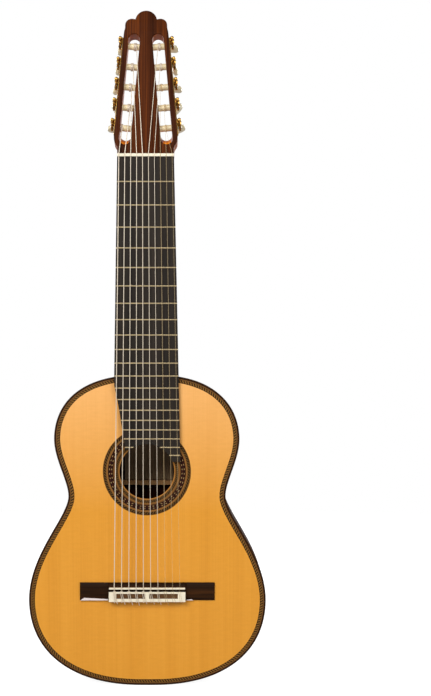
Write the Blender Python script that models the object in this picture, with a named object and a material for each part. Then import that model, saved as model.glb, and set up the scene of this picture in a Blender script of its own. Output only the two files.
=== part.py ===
"""Ten-string classical guitar, standing upright on the flat end of its tail.

Blender script, metres. +Z runs up the neck, the soundboard faces -Y, and +X is
the right-hand side seen from the front. Dimensions below are in millimetres.
The origin is the middle of the tail's flat end face.
"""
import math

import bmesh
import bpy
from mathutils import Vector
from mathutils.geometry import tessellate_polygon

MM = 0.001

# Body
BODY_LENGTH = 480.0
BODY_FRONT = -50.0
BACK_EDGE_TAIL, BACK_EDGE_HEEL = 50.0, 46.0
BACK_DOME = 3.0
TAIL_FLAT, HEEL_FLAT = 10.0, 8.0
LOWER_BOUT, WAIST, UPPER_BOUT = (182.9, 133.5), (120.3, 295.0), (141.4, 382.0)
RIB_THICKNESS = 2.2
PLATE_THICKNESS = 2.5
BINDING_WIDTH, BINDING_DEPTH = 2.5, 6.0
LINING_IN, LINING_OUT, LINING_DEPTH = 8.5, 2.5, 12.0
GAP = 0.3

# Soundhole and rosette
HOLE_Z, HOLE_R, ROSETTE_R, ROSETTE_DEPTH = 332.7, 42.0, 67.4, 1.0

# Neck, fingerboard and strings
SCALE = 650.0
NUT_Z, NUT_LENGTH = 803.0, 5.5
BOARD_SURFACE, FRET_HEIGHT = -56.0, 1.0
BOARD_HALF_NUT, BOARD_HALF_12TH = 42.4, 48.8
BOARD_END_TREBLE, BOARD_END_BASS = 347.7, 366.5
BASS_CUT = [(462.0, -48.6), (442.5, -44.4), (426.3, -41.5), (396.5, -37.0), (366.5, -33.0)]
STRING_DIAMETERS = [1.30, 1.20, 1.12, 1.05, 1.09, 0.91, 0.76, 1.02, 0.82, 0.71]
NUT_SPACING, SADDLE_SPACING = 8.8, 11.18
STRING_Y_NUT, STRING_Y_SADDLE = -57.6, -62.4

# Bridge
BRIDGE_HALF, BLOCK_HALF, SADDLE_HALF = 103.9, 58.8, 58.4
BRIDGE_Z0, BLOCK_Z1, SADDLE_Z0, SADDLE_Z1, BRIDGE_Z1 = 134.0, 147.8, 151.8, 154.4, 161.5
TIE_HOLE_Y = -55.4
BLOCK_TOP = -59.0

# Head: s runs up its face from the nut's back, d runs into the wood, x across
HEAD_TILT = math.radians(12.0)
HEAD_Y, HEAD_Z = -52.5, 808.5
HEAD_FRONT, HEAD_BACK = 2.5, 22.0
HEAD_OUTLINE = [
    (42.4, 0.0), (42.4, 9.4), (43.9, 12.8), (46.0, 16.6), (47.3, 21.2), (47.7, 26.2),
    (33.75, 185.6), (33.1, 191.6), (31.8, 199.7), (30.8, 204.2), (27.8, 208.3),
    (23.1, 209.9), (18.8, 209.7),
]
LOBE_R, LOBE_S = 16.4, 206.4

# Tuners: a runs out of the head's side, q along that side, d as above
SIDE_SPLAY = math.radians(5.0)
SIDE_X, SIDE_S = 47.7, 26.2
SLOT_A, SLOT_R = -16.5, 8.7
SLOT_Q0, SLOT_Q1, SLOT_RAMP = 11.8, 153.7, 15.0
ROLLER_Q = [18.2 + 32.1 * k for k in range(5)]
ROLLER_D, ROLLER_R, BORE_R = 12.0, 4.7, 5.2
ROLLER_A0, ROLLER_A1, BORE_A = -30.3, -0.7, -30.9
PLATE_A0, PLATE_A1, PLATE_Q0, PLATE_Q1 = 0.3, 1.3, 5.0, 159.5
COG_A, COG_HALF, COG_TEETH, COG_PITCH_R = 4.7, 1.5, 14, 5.0
COG_TIP_R, COG_ROOT_R = 5.6, 4.15
WORM_OFFSET, WORM_PITCH_R, WORM_CREST_R, WORM_ROOT_R = 7.6, 2.6, 3.1, 1.8
WORM_PITCH = 2 * math.pi * COG_PITCH_R / COG_TEETH
WORM_TURNS = 3
LUG_D = (6.0, 18.0)
LUG_HALF = 0.8
BUTTON_D0, BUTTON_D1 = 27.0, 45.0
# The button's section from the shaft outwards: share of its length, half-width, half-thickness.
BUTTON_SHAPE = [(0, 2.6, 2.4), (0.2, 6.4, 3.3), (0.5, 9.4, 3.9), (0.9, 9.5, 3.9), (1, 8.0, 3.0)]
# Rest angle of each button about its own axis, from the lowest pair up.
BUTTON_TURNS = {"bass": (0, 53, -52, -65, -67), "treble": (20, 44, -14, -70, -10)}
# Where each string meets its roller: distance from the centre line, in string order.
WINDING_X = [-35.1, -23.7, -21.8, -19.6, -14.8, 18.0, 21.1, 21.1, 27.4, 28.9]


# ---------------------------------------------------------------- mesh helpers

def clear_scene():
    for old in list(bpy.data.objects):
        bpy.data.objects.remove(old, do_unlink=True)


def add(name, points, faces):
    """A mesh object from points in millimetres, its faces turned outwards."""
    mesh = bpy.data.meshes.new(name)
    mesh.from_pydata([tuple(p) for p in points], [], faces)
    shape = bmesh.new()
    shape.from_mesh(mesh)
    bmesh.ops.recalc_face_normals(shape, faces=shape.faces)
    shape.to_mesh(mesh)
    shape.free()
    made = bpy.data.objects.new(name, mesh)
    made.scale = (MM, MM, MM)
    bpy.context.scene.collection.objects.link(made)
    return made


def cutter(name, points, faces):
    helper = add(name, points, faces)
    helper.hide_render = True
    helper.display_type = "WIRE"
    return helper


def boolean(target, other, operation):
    step = target.modifiers.new(other.name, "BOOLEAN")
    step.operation = operation
    step.solver = "EXACT"
    step.object = other
    return target


def body_place(x, z, y):
    return (x, y, z)


def head_place(x, s, d):
    return (
        x,
        HEAD_Y + s * math.sin(HEAD_TILT) + d * math.cos(HEAD_TILT),
        HEAD_Z + s * math.cos(HEAD_TILT) - d * math.sin(HEAD_TILT),
    )


def side_to_head(sign, a, q):
    x = SIDE_X + a * math.cos(SIDE_SPLAY) - q * math.sin(SIDE_SPLAY)
    return sign * x, SIDE_S + a * math.sin(SIDE_SPLAY) + q * math.cos(SIDE_SPLAY)


def side_place(sign):
    """Places (a, q, d) of one side of the head; sign is -1 on the bass side."""
    return lambda a, q, d: head_place(*side_to_head(sign, a, q), d)


def layered(levels, place):
    """Points and faces of a solid through levels of (depth, loops); each depth may be a function of (u, v)."""
    points, faces, starts = [], [], []
    for depth, loops in levels:
        starts.append(len(points))
        for loop in loops:
            for u, v in loop:
                points.append(place(u, v, depth(u, v) if callable(depth) else depth))
    counts = [len(loop) for loop in levels[0][1]]
    for low, high in zip(starts, starts[1:]):
        first = 0
        for count in counts:
            for i in range(count):
                j = (i + 1) % count
                faces.append((low + first + i, low + first + j, high + first + j, high + first + i))
            first += count
    for start, (_, loops) in ((starts[0], levels[0]), (starts[-1], levels[-1])):
        flat = [[Vector((u, v, 0)) for u, v in loop] for loop in loops]
        faces += [tuple(start + i for i in corner) for corner in tessellate_polygon(flat)]
    return points, faces


def slab(name, loops, low, high, place=body_place):
    return add(name, *layered([(low, loops), (high, loops)], place))


def stack(rings):
    """Points and faces of a closed solid through rings; a ring may have twice the points of its neighbour."""
    points, faces, starts = [], [], []
    for ring in rings:
        starts.append(len(points))
        points += ring
    for (low, a), (high, b) in zip(zip(starts, rings), zip(starts[1:], rings[1:])):
        n = max(len(a), len(b))
        step_a, step_b = n // len(a), n // len(b)
        for i in range(n):
            quad = [
                low + (i // step_a) % len(a), low + ((i + 1) // step_a) % len(a),
                high + ((i + 1) // step_b) % len(b), high + (i // step_b) % len(b),
            ]
            corners = list(dict.fromkeys(quad))
            faces.append(tuple(corners))
    faces.append(tuple(range(starts[0], starts[0] + len(rings[0]))))
    faces.append(tuple(range(starts[-1], starts[-1] + len(rings[-1]))))
    return points, faces


def merged(parts):
    """Several separate solids as one point list and face list, for a cutter or a joined helper."""
    points, faces = [], []
    for more_points, more_faces in parts:
        base = len(points)
        points += more_points
        faces += [tuple(base + i for i in face) for face in more_faces]
    return points, faces


def tube(path, radius, sides=6):
    """A round bar along a path of points."""
    path = [Vector(p) for p in path]
    rings, across = [], Vector((1, 0, 0))
    for i, here in enumerate(path):
        before = (here - path[i - 1]).normalized() if i else None
        after = (path[i + 1] - here).normalized() if i + 1 < len(path) else None
        along = ((before or after) + (after or before)).normalized()
        across = (across - along * across.dot(along)).normalized()
        other = along.cross(across)
        rings.append([
            tuple(here + radius * (across * math.cos(t) + other * math.sin(t)))
            for t in (2 * math.pi * k / sides for k in range(sides))
        ])
    return stack(rings)


def circle(cu, cv, radius, sides):
    return [
        (cu + radius * math.cos(2 * math.pi * k / sides), cv + radius * math.sin(2 * math.pi * k / sides))
        for k in range(sides)
    ]


def arc(cu, cv, radius, start, end, steps):
    angles = [math.radians(start + (end - start) * k / steps) for k in range(steps + 1)]
    return [(cu + radius * math.cos(t), cv + radius * math.sin(t)) for t in angles]


def bezier(p0, p1, p2, p3, steps):
    found = []
    for k in range(steps):
        t = k / steps
        w = ((1 - t) ** 3, 3 * (1 - t) ** 2 * t, 3 * (1 - t) * t * t, t ** 3)
        found.append(tuple(sum(c * p[axis] for c, p in zip(w, (p0, p1, p2, p3))) for axis in (0, 1)))
    return found


def between(table, at):
    """Straight-line reading of a table of (position, value) in falling order of position."""
    for (a, va), (b, vb) in zip(table, table[1:]):
        if at >= b:
            return va + (vb - va) * (a - at) / (a - b)
    return table[-1][1]


# ------------------------------------------------------------------------ body

def half_outline():
    """Right half of the body's outline from the tail to the heel, as (x, z)."""
    tail, heel = (TAIL_FLAT, 0.0), (HEEL_FLAT, BODY_LENGTH)
    lx, lz = LOWER_BOUT
    wx, wz = WAIST
    ux, uz = UPPER_BOUT
    points = bezier(tail, (tail[0] + 112.5, 0), (lx, lz - 79), (lx, lz), 9)
    points += bezier((lx, lz), (lx, lz + 71), (wx, wz - 31), (wx, wz), 7)
    points += bezier((wx, wz), (wx, wz + 23), (ux, uz - 31), (ux, uz), 5)
    points += bezier((ux, uz), (ux, uz + 30), (heel[0] + 118.6, BODY_LENGTH), heel, 8)
    return points + [heel]


def outline(inset=0.0):
    """The whole outline moved inwards, as a closed loop from the tail's right corner."""
    half = half_outline()
    loop = half + [(-x, z) for x, z in reversed(half)]
    moved = []
    for i, (x, z) in enumerate(loop):
        (ax, az), (bx, bz) = loop[i - 1], loop[(i + 1) % len(loop)]
        tx, tz = bx - ax, bz - az
        length = math.hypot(tx, tz)
        moved.append((x - inset * tz / length, z + inset * tx / length))
    return moved


def half_width(z, inset=0.0):
    loop = outline(inset)
    half = loop[: len(loop) // 2]
    for (xa, za), (xb, zb) in zip(half, half[1:]):
        if za <= z <= zb:
            return xa + (xb - xa) * (z - za) / (zb - za)
    return half[0][0]


def back_edge(x, z):
    return BACK_EDGE_TAIL + (BACK_EDGE_HEEL - BACK_EDGE_TAIL) * z / BODY_LENGTH


def back_surface(x, z):
    """Outside of the domed back."""
    across = max(0.0, 1 - (x / half_width(z)) ** 2)
    return back_edge(x, z) + BACK_DOME * across * min(1.0, math.sin(math.pi * z / BODY_LENGTH) * 1.5)


def rib(name, sign):
    half = outline()[: len(outline()) // 2]
    inner = outline(RIB_THICKNESS)[: len(half)]
    half[0], inner[0] = (TAIL_FLAT + GAP, half[0][1]), (TAIL_FLAT + GAP, inner[0][1])
    half.append((GAP / 2, BODY_LENGTH))
    inner.append((GAP / 2, BODY_LENGTH - RIB_THICKNESS))
    front = BODY_FRONT + BINDING_DEPTH + GAP
    rings = []
    for (ox, oz), (ix, iz) in zip(half, inner):
        back = back_edge(ox, oz) - BINDING_DEPTH - GAP
        rings.append([(sign * ox, front, oz), (sign * ox, back, oz), (sign * ix, back, iz), (sign * ix, front, iz)])
    return add(name, *stack(rings))


def back_plate():
    loop = outline(BINDING_WIDTH + GAP)
    half = loop[: len(loop) // 2]
    columns = 8
    points, faces = [], []
    for x, z in half:
        for side in (0, PLATE_THICKNESS):
            for k in range(columns + 1):
                at = x * (2 * k / columns - 1)
                points.append((at, back_surface(at, z) - side, z))
    row = 2 * (columns + 1)
    for i in range(len(half) - 1):
        for side in (0, columns + 1):
            for k in range(columns):
                a = i * row + side + k
                faces.append((a, a + 1, a + row + 1, a + row))
        for k in (0, columns):
            a = i * row + k
            faces.append((a, a + columns + 1, a + row + columns + 1, a + row))
    for start in (0, (len(half) - 1) * row):
        for k in range(columns):
            a = start + k
            faces.append((a, a + 1, a + columns + 2, a + columns + 1))
    return add("back_plate", points, faces)


def soundboard():
    plate = slab(
        "soundboard", [outline(BINDING_WIDTH + GAP), circle(0, HOLE_Z, HOLE_R, 48)],
        BODY_FRONT, BODY_FRONT + PLATE_THICKNESS,
    )
    loops = [circle(0, HOLE_Z, ROSETTE_R + GAP, 48)]
    depth = BODY_FRONT + ROSETTE_DEPTH + GAP
    groove = cutter("rosette_groove", *layered([(BODY_FRONT - 2, loops), (depth, loops)], body_place))
    boolean(plate, groove, "DIFFERENCE")
    slab(
        "rosette", [circle(0, HOLE_Z, ROSETTE_R, 48), circle(0, HOLE_Z, HOLE_R, 48)],
        BODY_FRONT, BODY_FRONT + ROSETTE_DEPTH,
    )


def bindings_and_linings():
    edge = [outline(), outline(BINDING_WIDTH)]
    slab("top_binding", edge, BODY_FRONT, BODY_FRONT + BINDING_DEPTH)
    slab("back_binding", edge, lambda x, z: back_edge(x, z) - BINDING_DEPTH, back_edge)
    strip = [outline(LINING_OUT), outline(LINING_IN)]
    under = BODY_FRONT + PLATE_THICKNESS + GAP
    slab("top_lining", strip, under, under + LINING_DEPTH)
    top = PLATE_THICKNESS + GAP
    slab("back_lining", strip, lambda x, z: back_edge(x, z) - top - LINING_DEPTH, lambda x, z: back_edge(x, z) - top)


def box_loop(x0, x1, z0, z1):
    return [(x0, z0), (x1, z0), (x1, z1), (x0, z1)]


def blocks():
    front = BODY_FRONT + PLATE_THICKNESS + LINING_DEPTH + 2 * GAP
    slab(
        "tail_strip", [box_loop(-TAIL_FLAT, TAIL_FLAT, 0, RIB_THICKNESS)],
        BODY_FRONT + BINDING_DEPTH + GAP, BACK_EDGE_TAIL - BINDING_DEPTH - GAP,
    )
    slab("tail_block", [box_loop(-35, 35, 5, 22)], front, BACK_EDGE_TAIL - 15.5)
    slab("neck_block", [box_loop(-35, 35, 436, 472)], front, BACK_EDGE_HEEL - 15.5)


def cross_bar(name, z, thickness, edge_in, outer, height):
    """A bar across the body; outer(x) is the side glued down and height is signed away from it."""
    reach = min(half_width(z + side * thickness / 2, LINING_IN) for side in (-1, 1)) - 0.6
    spots = [reach * k / 4 for k in range(-4, 5)]
    near = [(x, outer(x)) for x in spots]
    far = [(reach, outer(reach) + height * 0.2), (reach - edge_in, outer(0) + height)]
    far += [(-x, y) for x, y in reversed(far)]
    return slab(name, [near + far], z - thickness / 2, z + thickness / 2, lambda x, y, at: (x, y, at))


def braces():
    under = BODY_FRONT + PLATE_THICKNESS + GAP
    cross_bar("lower_harmonic_bar", 283.0, 8.0, 26, lambda x: under, 17.0)
    cross_bar("upper_harmonic_bar", 386.0, 8.0, 26, lambda x: under, 17.0)
    for number, z in enumerate((118.0, 309.0, 412.0), 1):
        inside = lambda x, z=z: back_surface(x, z) - PLATE_THICKNESS - 2 * GAP
        cross_bar(f"back_brace_{number}", z, 7.0, 22, inside, -14.0)
    fan_bracing(under)


def fan_bracing(under):
    """Seven fan struts joined by the patch under the bridge."""
    patch = slab("fan_bracing", [box_loop(-98, 98, 134, 162)], under + 0.1, under + 2.1)
    struts = []
    for k in range(-3, 4):
        top, low = (k * 19.0, 272.0), (k * 36.0, 62.0 + 6.0 * abs(k))
        loop = [(top[0] - 2.5, top[1]), (top[0] + 2.5, top[1]), (low[0] + 2.5, low[1]), (low[0] - 2.5, low[1])]
        struts.append(layered([(under, [loop]), (under + 5.0, [loop])], body_place))
    boolean(patch, cutter("fan_struts", *merged(struts)), "UNION")


# ----------------------------------------------------- neck, board and bridge

def board_half(z):
    return BOARD_HALF_NUT + (BOARD_HALF_12TH - BOARD_HALF_NUT) * (NUT_Z - z) / (SCALE / 2)


def heel_profile(z):
    """(half-width of the flat heel end, depth of the neck's spine) at this height."""
    tip, foot, shaft = 524.0, BODY_LENGTH, -31.0 - 2.0 * max(0.0, z - 560.0) / 243.0
    if z < tip:
        return 10.5 * (1 - ((z - foot) / (tip - foot)) ** 2) ** 0.8 if z > foot else 10.5, 43.7
    fall = max(0.0, 1 - (z - tip) / 62.0) ** 3.2
    return 0.0, shaft + (43.7 - shaft) * fall


def neck():
    heights = [470, BODY_LENGTH, 490, 500, 510, 518, 523.5, 526, 530, 536, 544, 556, 575, 610, 680, 750, NUT_Z]
    shares = [0.06, 0.16, 0.32, 0.52, 0.72, 0.88, 0.97, 1.0]
    rows = []
    for number, z in enumerate(heights):
        wide = board_half(z)
        flat, spine = heel_profile(z)
        shaft = min(spine, -31.0 - 2.0 * max(0.0, z - 560.0) / 243.0)
        spots = [flat * 0.5, max(flat, 0.4)]
        spots += [spots[-1] + (wide - spots[-1]) * share for share in shares]
        row = []
        for x in [-x for x in reversed(spots)] + spots:
            u = abs(x) / wide
            round_y = BODY_FRONT + 1.5 + (shaft - BODY_FRONT - 1.5) * max(0.0, 1 - u ** 2.6) ** 0.5
            rise = max(0.0, 1 - max(0.0, abs(x) - flat) / (wide - flat)) ** 2.4
            y = max(round_y, round_y + (spine - round_y) * rise)
            row.append((x, y, z))
        row = [(-wide, BODY_FRONT, z)] + row + [(wide, BODY_FRONT, z)]
        rows.append(row)
    rows.append([(x, y, head_joint(y)) for x, y, z in rows[-1]])
    shape = add("neck", *stack(rows))
    body = [outline(-GAP)]
    return boolean(shape, cutter("body_clearance", *layered([(-70, body), (70, body)], body_place)), "DIFFERENCE")


def head_joint(y):
    """Height of the joint's plane, square to the head's face, at this depth."""
    d = (y - HEAD_Y + GAP * math.sin(HEAD_TILT)) / math.cos(HEAD_TILT)
    return HEAD_Z - GAP * math.cos(HEAD_TILT) - d * math.sin(HEAD_TILT)


def heel_cap():
    right = [(10.5 * (1 - t * t) ** 0.8, 480.4 + 43.6 * t) for t in (0, 0.25, 0.5, 0.7, 0.85, 0.95)]
    loop = right + [(0, 524.0)] + [(-x, z) for x, z in reversed(right)]
    return slab("heel_cap", [loop], 44.0, 46.0)


def fret_z(number):
    return NUT_Z - SCALE * (1 - 2 ** (-number / 12))


def board_left(z):
    if z > BASS_CUT[0][0]:
        return -board_half(z)
    return between(BASS_CUT, z) if z >= BOARD_END_BASS else 0.0


def fingerboard():
    profile = [(NUT_Z - GAP, BOARD_SURFACE)]
    for number in range(1, 21):
        z = fret_z(number)
        profile += [(z + 1.1, BOARD_SURFACE), (z, BOARD_SURFACE - FRET_HEIGHT), (z - 1.1, BOARD_SURFACE)]
    profile += [(BOARD_END_BASS, BOARD_SURFACE), (BOARD_END_BASS - 0.1, BOARD_SURFACE)]
    profile += [(BOARD_END_TREBLE, BOARD_SURFACE), (BASS_CUT[0][0], BOARD_SURFACE)]
    profile.sort(reverse=True)
    rings = []
    for z, y in profile:
        left, right, base = board_left(z), board_half(z), BODY_FRONT - GAP
        rings.append([(left, y, z), (right, y, z), (right, base, z), (left, base, z)])
    board = add("fingerboard", *stack(rings))
    hole = [circle(0, HOLE_Z, HOLE_R, 48)]
    cut = cutter("board_end_arc", *layered([(-70, hole), (-45, hole)], body_place))
    return boolean(board, cut, "DIFFERENCE")


def nut():
    loop = box_loop(-BOARD_HALF_NUT, BOARD_HALF_NUT, NUT_Z, NUT_Z + NUT_LENGTH)
    return slab("nut", [loop], STRING_Y_NUT + GAP, BODY_FRONT - GAP)


def string_x(index, spacing):
    return (index - 4.5) * spacing


def bridge():
    base = BODY_FRONT - GAP
    wing = -53.3
    sections = []
    ramp = BLOCK_HALF + 1.2
    for x, lift in (
        (-BRIDGE_HALF, 0), (-ramp, 0), (-BLOCK_HALF, 1), (BLOCK_HALF, 1), (ramp, 0), (BRIDGE_HALF, 0),
    ):
        def height(value):
            return wing + (value - wing) * lift
        edge = base - 1.2
        sections.append([
            (x, base, BRIDGE_Z0), (x, edge if not lift else height(BLOCK_TOP + 1), BRIDGE_Z0),
            (x, height(BLOCK_TOP), BRIDGE_Z0 + 1.5), (x, height(BLOCK_TOP), BLOCK_Z1),
            (x, height(-53.6), BLOCK_Z1 + 0.1), (x, height(-53.6), SADDLE_Z0 - 1.2),
            (x, height(-56.4), SADDLE_Z0 - 1.1), (x, height(-56.4), SADDLE_Z1 + 2.4),
            (x, height(-54.4), BRIDGE_Z1 - 2.5), (x, edge, BRIDGE_Z1), (x, base, BRIDGE_Z1),
        ])
    made = add("bridge", *stack(sections))
    slot = [box_loop(-SADDLE_HALF - GAP, SADDLE_HALF + GAP, SADDLE_Z0 - GAP, SADDLE_Z1 + GAP)]
    cut = cutter("saddle_slot", *layered([(-70, slot), (-52.6, slot)], body_place))
    boolean(made, cut, "DIFFERENCE")
    holes = []
    for index in range(10):
        loop = [circle(string_x(index, SADDLE_SPACING), TIE_HOLE_Y, 1.15, 8)]
        holes.append(layered([(BRIDGE_Z0 - 3, loop), (BLOCK_Z1 + 1, loop)], lambda x, y, z: (x, y, z)))
    boolean(made, cutter("tie_holes", *merged(holes)), "DIFFERENCE")


def saddle_and_frame():
    loop = box_loop(-SADDLE_HALF, SADDLE_HALF, SADDLE_Z0, SADDLE_Z1)
    slab("saddle", [loop], STRING_Y_SADDLE + GAP, -52.9)
    outer = box_loop(-BLOCK_HALF, BLOCK_HALF, BRIDGE_Z0 + 1.6, BLOCK_Z1)
    z0, z1 = BRIDGE_Z0 + 4.2, BLOCK_Z1 - 2.4
    windows = [box_loop(-48.2, -3.3, z0, z1), box_loop(3.3, 48.2, z0, z1)]
    slab("tie_block_frame", [outer] + windows, BLOCK_TOP - GAP - 1.2, BLOCK_TOP - GAP)


# ------------------------------------------------------------- head and tuners

def head_outline(start):
    """The head's outline closed across the nut end at s = start."""
    right = [(HEAD_OUTLINE[0][0], start)] + HEAD_OUTLINE[1:]
    crown = arc(0, LOBE_S, LOBE_R, 9.5, 170.5, 12)
    return right + crown + [(-x, s) for x, s in reversed(right)]


def slot_loop(sign, ramp):
    lower = arc(SLOT_A, SLOT_Q0 - ramp, SLOT_R, 180, 360, 6)
    upper = arc(SLOT_A, SLOT_Q1, SLOT_R, 0, 180, 6)
    return [side_to_head(sign, a, q) for a, q in lower + upper]


def head_loops(start, ramp):
    return [head_outline(start), slot_loop(-1, ramp), slot_loop(1, ramp)]


def side_cylinder(sign, q, radius, a0, a1, sides=12):
    place = side_place(sign)
    rings = [
        [place(a, q + v, ROLLER_D + w) for v, w in circle(0, 0, radius, sides)] for a in (a0, a1)
    ]
    return stack(rings)


def headstock():
    levels = [
        (HEAD_FRONT, head_loops(0.0, SLOT_RAMP * (1 - HEAD_FRONT / HEAD_BACK))), (HEAD_BACK, head_loops(0.0, 0)),
    ]
    head = add("headstock", *layered(levels, head_place))
    bores = [side_cylinder(sign, q, BORE_R, BORE_A, 3.0) for sign in (-1, 1) for q in ROLLER_Q]
    boolean(head, cutter("roller_bores", *merged(bores)), "DIFFERENCE")
    slab("head_veneer", head_loops(1.2, SLOT_RAMP), 0.0, HEAD_FRONT - GAP, head_place)


def cog_ring(sign, q, a):
    """Saw-shaped ring of the cog, turned a little across its thickness to follow the worm's lead."""
    place = side_place(sign)
    twist = (a - COG_A) * WORM_PITCH / (2 * math.pi * WORM_PITCH_R) / COG_PITCH_R
    ring = []
    for k in range(2 * COG_TEETH):
        radius = COG_ROOT_R if k % 2 else COG_TIP_R
        turn = math.pi * k / COG_TEETH + twist
        ring.append(place(a, q + radius * math.cos(turn), ROLLER_D + radius * math.sin(turn)))
    return ring


def roller(name, sign, q):
    """String roller, axle and cog, turning together."""
    place = side_place(sign)

    def ring(a, radius):
        return [place(a, q + v, ROLLER_D + w) for v, w in circle(0, 0, radius, COG_TEETH)]

    low, high = COG_A - COG_HALF, COG_A + COG_HALF
    rings = [ring(ROLLER_A0, ROLLER_R), ring(ROLLER_A1, ROLLER_R), ring(ROLLER_A1, 2.4), ring(low, 2.4)]
    rings += [cog_ring(sign, q, low), cog_ring(sign, q, high), ring(high, 2.2), ring(high + 1.3, 2.2)]
    return add(name, *stack(rings))


def tuner_plate(name, sign):
    place = side_place(sign)
    holes = [circle(q, ROLLER_D, 2.8, 8) for q in ROLLER_Q]
    plate = slab(
        name, [box_loop(PLATE_Q0, PLATE_Q1, 4.0, 20.0)] + holes, PLATE_A0, PLATE_A1, lambda q, d, a: place(a, q, d)
    )
    lugs = []
    for q in ROLLER_Q:
        worm = q + WORM_OFFSET
        shape = [
            (PLATE_A1 - 0.6, worm - 2.8), (COG_A + 1.4, worm - 2.8), (COG_A + 2.6, worm - 1.4),
            (COG_A + 2.6, worm + 1.4), (COG_A + 1.4, worm + 2.8), (PLATE_A1 - 0.6, worm + 2.8),
        ]
        hole = circle(COG_A, worm, 1.4, 8)
        for d in LUG_D:
            lugs.append(layered([(d - LUG_HALF, [shape, hole]), (d + LUG_HALF, [shape, hole])], place))
    return boolean(plate, cutter(name + "_lugs", *merged(lugs)), "UNION")


def worm_lattice(place, q, sides):
    """Helical worm whose thread fades out at both ends; returns points, faces and its two end rings."""
    rows = range(-4, 2 * WORM_TURNS - 3)
    points, faces, index = [], [], {}

    def vertex(i, j):
        wrap, i = divmod(i, sides)
        j += 2 * wrap
        if (i, j) not in index:
            height = ROLLER_D + WORM_PITCH * (j / 2 + i / sides)
            crest = j % 2 and rows[0] < j < rows[-1]
            radius = WORM_CREST_R if crest else WORM_ROOT_R
            turn = 2 * math.pi * i / sides
            index[(i, j)] = len(points)
            points.append(place(COG_A + radius * math.sin(turn), q + WORM_OFFSET - radius * math.cos(turn), height))
        return index[(i, j)]

    for j in rows[:-1]:
        for i in range(sides):
            faces.append((vertex(i, j), vertex(i + 1, j), vertex(i + 1, j + 1), vertex(i, j + 1)))
    low = [vertex(i, rows[0]) for i in range(sides + 1)]
    high = [vertex(i, rows[-1]) for i in range(sides + 1)]
    return points, faces, low, high, vertex(0, rows[0] + 1), vertex(0, rows[-1] + 1)


def tuner_button(name, sign, q, turn):
    """Worm, shaft, finial and button of one tuner, turning together."""
    place = side_place(sign)
    sides = 10
    points, faces, low, high, low_mid, high_mid = worm_lattice(place, q, sides)

    def ring(d, wide, thick=None, angle=-90.0):
        """Round or oval ring about the shaft, its points lined up with the worm's."""
        start = len(points)
        c, s = math.cos(math.radians(angle)), math.sin(math.radians(angle))
        shift = round((angle + 90) * sides / 360)
        for k in range(sides):
            t = 2 * math.pi * (k - shift) / sides
            u, v = wide * math.cos(t), (thick or wide) * math.sin(t)
            points.append(place(COG_A + u * c - v * s, q + WORM_OFFSET + u * s + v * c, d))
        return list(range(start, start + sides))

    def chain(rings):
        for a, b in zip(rings, rings[1:]):
            faces.extend((a[k], a[(k + 1) % sides], b[(k + 1) % sides], b[k]) for k in range(sides))
        faces.append(tuple(rings[-1]))

    inner = (LUG_D[0] + LUG_HALF + GAP, LUG_D[1] - LUG_HALF - GAP)
    outer = (LUG_D[0] - LUG_HALF - GAP, LUG_D[1] + LUG_HALF + GAP)
    front, back = ring(inner[0], WORM_ROOT_R), ring(inner[1], WORM_ROOT_R)
    for k in range(sides - 1):
        faces.append((low[k], low[k + 1], front[k + 1], front[k]))
    # The thread climbs one pitch per turn, so one face at each end also takes the seam's points.
    faces.append((low[sides - 1], low[sides], low_mid, low[0], front[0], front[sides - 1]))
    faces.append((high[0], high[1], back[1], back[0], high[sides], high_mid))
    for k in range(1, sides):
        faces.append((high[k], high[k + 1], back[(k + 1) % sides], back[k]))
    ball = [(2.2 + 3.0 * math.cos(math.radians(t)), 3.0 * math.sin(math.radians(t))) for t in (40, 80, 120, 160)]
    chain([front, ring(inner[0], 1.15), ring(outer[0], 1.15)] + [ring(d, radius) for d, radius in ball])
    grip = [ring(BUTTON_D0 + (BUTTON_D1 - BUTTON_D0) * share, wide, thick, turn) for share, wide, thick in BUTTON_SHAPE]
    chain([back, ring(inner[1], 1.15), ring(outer[1], 1.15), ring(BUTTON_D0 - 3.0, 1.9)] + grip)
    return add(name, points, faces)


def tuners():
    for side, sign in (("bass", -1), ("treble", 1)):
        tuner_plate(f"tuner_plate_{side}", sign)
    for index in range(10):
        bass = index < 5
        sign = -1 if bass else 1
        place_up = index if bass else 9 - index
        turn = BUTTON_TURNS["bass" if bass else "treble"][place_up]
        roller(f"roller_{index + 1}", sign, ROLLER_Q[place_up])
        tuner_button(f"tuner_button_{index + 1}", sign, ROLLER_Q[place_up], turn)


# --------------------------------------------------------------------- strings

def slot_inner_x(s):
    """Distance from the centre line of a slot's inner edge."""
    x0, s0 = side_to_head(1, SLOT_A - SLOT_R, SLOT_Q0)
    x1, s1 = side_to_head(1, SLOT_A - SLOT_R, SLOT_Q1)
    return x0 + (x1 - x0) * (s - s0) / (s1 - s0)


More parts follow.
